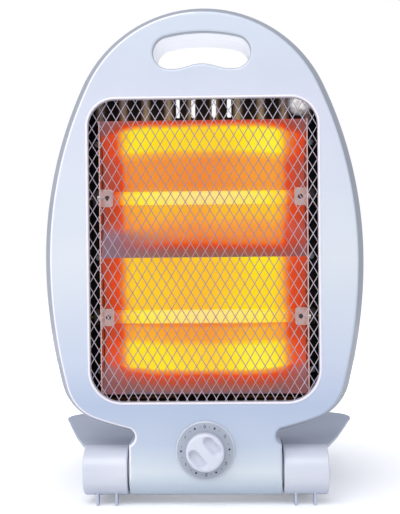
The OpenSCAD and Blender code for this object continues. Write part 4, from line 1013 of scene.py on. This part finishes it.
# The ink is a matt near-black film.
pad_ink = moulded("black_pad_printing_ink", "#23262d", "#343841", 0.5, 8, 0.1)
ring = Shape()
for paint, profile in enumerate((
        [(RING_FRONT + 0.25, RING_BORE), (PRINT_IN, 8.8), (PRINT_IN, 22.6)],
        [(PRINT_IN, 22.6), (RING_FRONT + 0.08, 22.75), (RING_FRONT + 0.75, 23.55),
         (RING_FRONT + 1.1, RING_R - 0.02), (FACE_Y, RING_R - 0.02), (FACE_Y, RING_BORE),
         (RING_FRONT + 0.25, RING_BORE)])):
    ring.bands([ring.ring(at_depth(y, circle(0, DIAL_Z, r, 96))) for y, r in profile], paint)
dial_ring = make(ring, "dial_ring_disc", [abs_ring, abs_rim])
hand_over(dial_ring, "housing", "dial_grey", "dial_ring")

marks = Shape()


def on_scale(angle):
    """Where an angle lies on the scale."""
    a = radians(angle)
    return MARK_R * cos(a), DIAL_Z + MARK_R * sin(a)


def dot(angle, r):
    """A printed dot, a thin round film."""
    x, z = on_scale(angle)
    rings = [marks.ring(at_depth(y, circle(x, z, s, 16)))
             for y, s in ((PRINT_IN, r), (RING_FRONT - 0.03, r), (PRINT_OUT, r * 0.85))]
    marks.bands(rings)
    marks.face(rings[-1])


def stroke(points, width):
    """A printed line through a few points."""
    rings = []
    for i, here in enumerate(points):
        ahead = Vector(points[min(i + 1, len(points) - 1)]) - Vector(points[max(i - 1, 0)])
        ahead.normalize()
        off = Vector((-ahead[1], ahead[0])) * width / 2
        a, b = Vector(here) + off, Vector(here) - off
        rings.append(marks.ring([(a[0], PRINT_IN, a[1]), (a[0], PRINT_OUT, a[1]),
                                 (b[0], PRINT_OUT, b[1]), (b[0], PRINT_IN, b[1])]))
    marks.bar(rings)


FIGURE_H, STROKE_W = 2.3, 0.42
FIGURES = {
    "0": [(0.32 * cos(a), 0.5 * sin(a)) for a in (pi * i / 8 for i in range(17))],
    "1": [(-0.18, 0.3), (0.05, 0.5), (0.05, -0.5)],
    "2": [(-0.3, 0.3), (-0.18, 0.46), (0.08, 0.5), (0.28, 0.36), (0.26, 0.12), (-0.3, -0.48),
          (0.32, -0.48)]}
for angle in (3, 67, 115, 181, 247, 296):
    dot(angle, 0.85)
for angle in (16, 55, 80, 102, 128, 170, 196, 234, 262, 283, 311, 350):
    dot(angle, 0.36)
for kind, angle in (("0", 91), ("0", 272), ("2", 36), ("1", 146), ("1", 215), ("2", 328)):
    x, z = on_scale(angle)
    stroke([(x + u * FIGURE_H, z + v * FIGURE_H) for u, v in FIGURES[kind]], STROKE_W)
marks = make(marks, "dial_scale_print", [pad_ink])
hand_over(marks, "housing", "dial_grey")

# ---- Control knob: one glossy white ABS moulding pressed on the switch's shaft. Two deep
# rounded hollows for finger and thumb leave a straight grip bar between them.
KNOB_R, KNOB_BACK, KNOB_FRONT, KNOB_SIDES = 15.3, -22.6, -32.6, 144
BORE_R, BORE_D = 9.2, 2.8
BAR_TURN, HOLLOW_OUT, HOLLOW_LONG, HOLLOW_R, HOLLOW_D = radians(42), 8.0, 5.0, 4.1, 4.4
# Its cool white is nearly a mirror, and the hollows show by what they reflect.
abs_knob = moulded("glossy_moulded_abs_white", "#d2d7e4", "#dee1ea", 0.3, 25, 0.006)


def knob_front(x, z):
    """Depth of the knob's front below its highest plane: a crowned face with two hollows."""
    u = x * cos(BAR_TURN) + z * sin(BAR_TURN)
    v = -x * sin(BAR_TURN) + z * cos(BAR_TURN)
    out = hypot(abs(u) - HOLLOW_OUT, max(0.0, abs(v) - HOLLOW_LONG)) - HOLLOW_R
    into = min(1.0, max(0.0, (0.7 - out) / 2.6))
    crown = 0.35 * ((x * x + z * z) / KNOB_R ** 2)
    return crown + HOLLOW_D * into * into * (3 - 2 * into)


knob = Shape()
rings = [knob.ring([(0, KNOB_FRONT + knob_front(0, 0), DIAL_Z)]) * KNOB_SIDES]
for i in range(1, 37):
    rings.append(knob.ring([(x, KNOB_FRONT + knob_front(x, z), DIAL_Z + z)
                            for x, z in circle(0, 0, 0.35 * i, KNOB_SIDES)]))
edge = [(KNOB_FRONT + 0.3 + 2.4 * (1 - cos(a)), 12.8 + 2.5 * sin(a))
        for a in (pi / 2 * i / 7 for i in range(1, 8))]
edge += [(KNOB_BACK - 0.5, KNOB_R), (KNOB_BACK - 0.02, KNOB_R - 0.4), (KNOB_BACK - 0.02, BORE_R),
         (KNOB_BACK - BORE_D, BORE_R)]
rings += [knob.ring(at_depth(y, circle(0, DIAL_Z, r, KNOB_SIDES))) for y, r in edge]
rings.append(knob.ring([(0, KNOB_BACK - BORE_D, DIAL_Z)]) * KNOB_SIDES)
knob.bands(rings)
control_knob = make(knob, "control_knob_cap", [abs_knob], sharp=50)
hand_over(control_knob, "knob", "knob_white", "control_knob")

# ---- Cord gland: a black nylon bushing in the rear cover, its round flange knurled so that
# it can be turned home by hand. Its bore is empty.
KNURLS, KNURL_D, GLAND_SIDES = 18, 0.38, 144
# The satin black keeps a soft light on each knurl.
nylon = moulded("black_moulded_nylon", "#1c1c1e", "#2c2c2f", 0.5, 12, 0.3)
gland = Shape()
profile = [(35.5, 3.52, 0), (35.5, 7.3, 0), (38.3, 7.3, 0), (38.3, 5.98, 0), (41.02, 5.98, 0),
           (41.02, 8.0, 1), (41.4, 8.1, 1), (43.1, 8.1, 1), (43.45, 7.6, 0), (43.45, 6.3, 0),
           (46.5, 5.9, 0), (46.95, 5.4, 0), (46.95, 4.0, 0), (46.4, 3.52, 0)]
rings = []
for y, r, knurled in profile:
    turn = [(a, r + knurled * KNURL_D * cos(KNURLS * a))
            for a in (2 * pi * i / GLAND_SIDES for i in range(GLAND_SIDES))]
    rings.append(gland.ring([(GLAND_X + out * cos(a), y, GLAND_Z + out * sin(a))
                             for a, out in turn]))
gland.bands(rings)
gland.band(rings[-1], rings[0])
hand_over(make(gland, "cord_gland_bushing", [nylon]), "housing", "dark_plastic", "cord_gland")

# ---- The sheet metal behind the guard keeps its CAD form: the flat side plates at the ends
# of the troughs, the frame that clamps the guard and the shield behind the reflector. They
# are stamped and folded from plated steel and held by small screws.
PLATE_FRONT, DARK_LINE, STRIP_TOP = -5.7, 11, 98


def dress(finish, *names):
    """Gives CAD nodes that stay visible a finish of their own."""
    for name in names:
        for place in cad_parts[name].material_slots:
            place.material = finish


# The zinc's spangles of 5 mm are painted near black for the shade at the troughs' ends. Painted
# light of the tubes makes the inner faces glow red and gives the front edges a pale pink painted
# highlight, but a painted dark line is left upright on the plate's middle.
plate_zinc, tree, shader, place = material("galvanised_sheet_steel_painted_tube_light", Metallic=0.6,
                                           Roughness=0.45)
split, reach = parted(tree, place)
spangle = add(tree, "TexVoronoi", {"Vector": place, "Scale": 1 / (5 * MM)})
shaded_spangles = add(tree, "ValToRGB", [spangle], [(0.0, "#1c1a1d"), (1.0, "#2c292c")])
front_edge = add(tree, "Math.LESS_THAN", [split.outputs["Y"], (AXIS_Y + PLATE_FRONT) * MM])
inner_face = add(tree, "Math.LESS_THAN", [reach, (PLATE_X + 0.1) * MM])
lit = add(tree, "Math.MULTIPLY", [inner_face, 0.55])
tube_light_share = add(tree, "Math.MULTIPLY_ADD", [front_edge, 0.25, lit])
# Along the plate's middle the painted light is left off, for a painted dark line.
from_seam = add(tree, "Math.SUBTRACT", [split.outputs["Y"], (AXIS_Y + DARK_LINE) * MM])
off_seam = add(tree, "Math.ABSOLUTE", [from_seam])
clear = add(tree, "Math.GREATER_THAN", [off_seam, 3.4 * MM])
feed(shader, {
    "Base Color": add(tree, "Mix", [front_edge, shaded_spangles, "#e8c8c0"], data_type="RGBA"),
    "Emission Color": add(tree, "Mix", [front_edge, "#9c3c24", "#e0a898"], data_type="RGBA"),
    "Emission Strength": add(tree, "Math.MULTIPLY", [tube_light_share, clear])})
dress(plate_zinc, "side_plates")
# The clamping frame is clean zinc-plated steel, a little dull.
dress(metal("zinc_plated_sheet_steel", "#8d8f94", "#b5b7bc", 0.4, 7), "guard_frame")

# The shield is corrugated, painted dark for the shade behind the reflector, with painted highlights
# along its ridges so that they shine through the slots. One spot behind the top slots carries a
# painted glow of light from behind, and the strip below the reflector is painted near black for its
# shade.
shaded_shield, tree, shader, place = material("corrugated_steel_sheet_painted_light_and_shade", Metallic=0.3, Roughness=0.5,
                                       Emission_Color="#eceef2")
ridges = add(tree, "TexWave", {
    "Vector": place, "Scale": 1 / (20 * MM) / 3.1, "Distortion": 0.4, "Detail": 1.0},
    wave_type="BANDS", bands_direction="X").outputs["Fac"]
# The ridges are painted pale over dark furrows: painted highlights and shade.
tint = add(tree, "ValToRGB", [ridges], [
    (0.0, "#1a1618"), (0.55, "#2e282b"), (0.8, "#8a8388"), (1.0, "#dcd8dc")])
# The painted glow of light from behind covers one spot behind the top slots.
off_light_spot = add(tree, "VectorMath.DISTANCE", [place, Vector((81, AXIS_Y + 26, 331)) * MM])
clean = add(tree, "MapRange", [off_light_spot, 5 * MM, 11 * MM, 1.0, 0.0])
mottle = add(tree, "TexNoise", [place, 1 / (5 * MM), 2.0])
glint = add(tree, "MapRange", [mottle, 0.35, 0.65, 0.3, 0.95])
patch = add(tree, "Mix", [clean, tint, "#d4d4da"], data_type="RGBA")
height = add(tree, "SeparateXYZ", [place]).outputs["Z"]
# Below the reflector the sheet is painted near black for the shade there.
shaded_low_strip = add(tree, "Math.LESS_THAN", [height, STRIP_TOP * MM])
feed(shader, {
    "Base Color": add(tree, "Mix", [shaded_low_strip, patch, "#0c0a0b"], data_type="RGBA"),
    "Emission Strength": add(tree, "Math.MULTIPLY", [clean, glint]),
    "Normal": add(tree, "Bump", {"Strength": 1.0, "Distance": 1.2 * MM, "Height": ridges})})
dress(shaded_shield, "heat_shield")

# ---- Fasteners, pivots and switch gear keep their CAD forms too: bought-in parts of zinc
# plated steel, brass and dark nylon, and wires in woven glass sleeves.
# The fasteners are bright and clean, because they are out of the heat.
zinc = metal("bright_zinc_plated_steel", "#b4b6ba", "#dcdde0", 0.3, 3)
dress(zinc, "pivot_bolts", "pivot_nuts", "cover_screws", "guard_screws", "shield_screws",
      "bracket_screws", "switch_nut", "switch_shaft", "tilt_switch_pin", "tilt_switch_screws")
# The pale nylon of the washers is dull, as a bearing surface is.
dress(moulded("pale_friction_nylon", "#c2c8d2", "#d6dbe4", 0.6, 9, 0.2), "pivot_washers")
# The brass parts give a warm yellow glint among the dark ones.
dress(metal("stamped_brass", "#a8803c", "#d0ab5c", 0.35, 4), "tube_terminals", "tilt_pendulum")
dress(nylon, "rotary_switch", "tilt_switch_case")
dress(steatite, "terminal_block", "thermal_cutout")
# The sleeves' weave of 0.8 mm leaves them matt and a dusty brown.
woven, tree, shader, place = material("woven_glass_fibre_sleeve", Roughness=0.8)
weave = add(tree, "TexVoronoi", {"Vector": place, "Scale": 1 / (0.8 * MM)})
feed(shader, {"Base Color": add(tree, "ValToRGB", [weave], [(0.0, "#6a6258"), (0.7, "#443d36")])})
dress(woven, "lead_wires", "supply_wires")

# ---- Floor and light: a pale sweep under the heater, a broad soft box above and in front,
# a weaker fill on each side and a plain white backdrop for the camera alone.
SWEEP_HALF = 3
# The matt paper has fibres of 2.5 mm, coarser than real ones. It is lit from within for the
# camera, so that it runs into the backdrop and keeps the heater's shadow.
paper, tree, shader, place = material("matt_white_paper_floor", Roughness=0.8,
                                      Emission_Color="#ffffff")
fibre = add(tree, "TexNoise", [place, 1 / (2.5 * MM), 2.0])
away = add(tree, "VectorMath.LENGTH", [place])
fade = add(tree, "MapRange", [away, 0.12, 0.42, 0.2, 0.62])
feed(shader, {
    "Base Color": add(tree, "Mix", [fibre, "#f6f6f6", "#fbfbfb"], data_type="RGBA"),
    "Emission Strength": add(tree, "Math.MULTIPLY", [add(tree, "LightPath"), fade])})
floor_mesh = bpy.data.meshes.new("floor")
corners = oblong(-SWEEP_HALF, SWEEP_HALF, -SWEEP_HALF, SWEEP_HALF)
floor_mesh.from_pydata([(x, y, 0) for x, y in corners], [], [(0, 1, 2, 3)])
floor_mesh.materials.append(paper)
put("floor", floor_mesh)


def soft_box(name, at, to, size, power):
    """A rectangular lamp that faces a point, in metres and watts."""
    lamp = put(name, bpy.data.lights.new(name, "AREA"))
    lamp.location = at
    lamp.rotation_euler = (Vector(to) - Vector(at)).to_track_quat("-Z", "Y").to_euler()
    lamp.data.shape = "RECTANGLE"
    lamp.data.size, lamp.data.size_y = size
    lamp.data.energy = power
    return lamp


soft_box("key_box", (-0.4, -1.4, 1.8), (0, 0, 0.2), (1.6, 1.2), 22)
soft_box("left_fill", (-1.5, -0.9, 0.7), (0, 0, 0.2), (1.0, 1.4), 7.5)
soft_box("right_fill", (1.5, -1.0, 0.8), (0, 0, 0.2), (1.0, 1.4), 3.6)
soft_box("low_back_strip", (0, 0.9, 0.12), (0, 0, 0.37), (1.4, 0.2), 5).visible_glossy = False
world = bpy.data.worlds.new("studio")
bpy.context.scene.world = world
world.use_nodes = True
tree = world.node_tree
sky = tree.nodes["Background"]
feed(sky, {"Color": "#eef2ff", "Strength": 0.55})
backdrop = add(tree, "Background", ["#ffffff", 1.0])
mixed = add(tree, "MixShader", [add(tree, "LightPath"), sky, backdrop])
feed(tree.nodes["World Output"], {"Surface": mixed})

bpy.context.scene.view_settings.view_transform = "Standard"
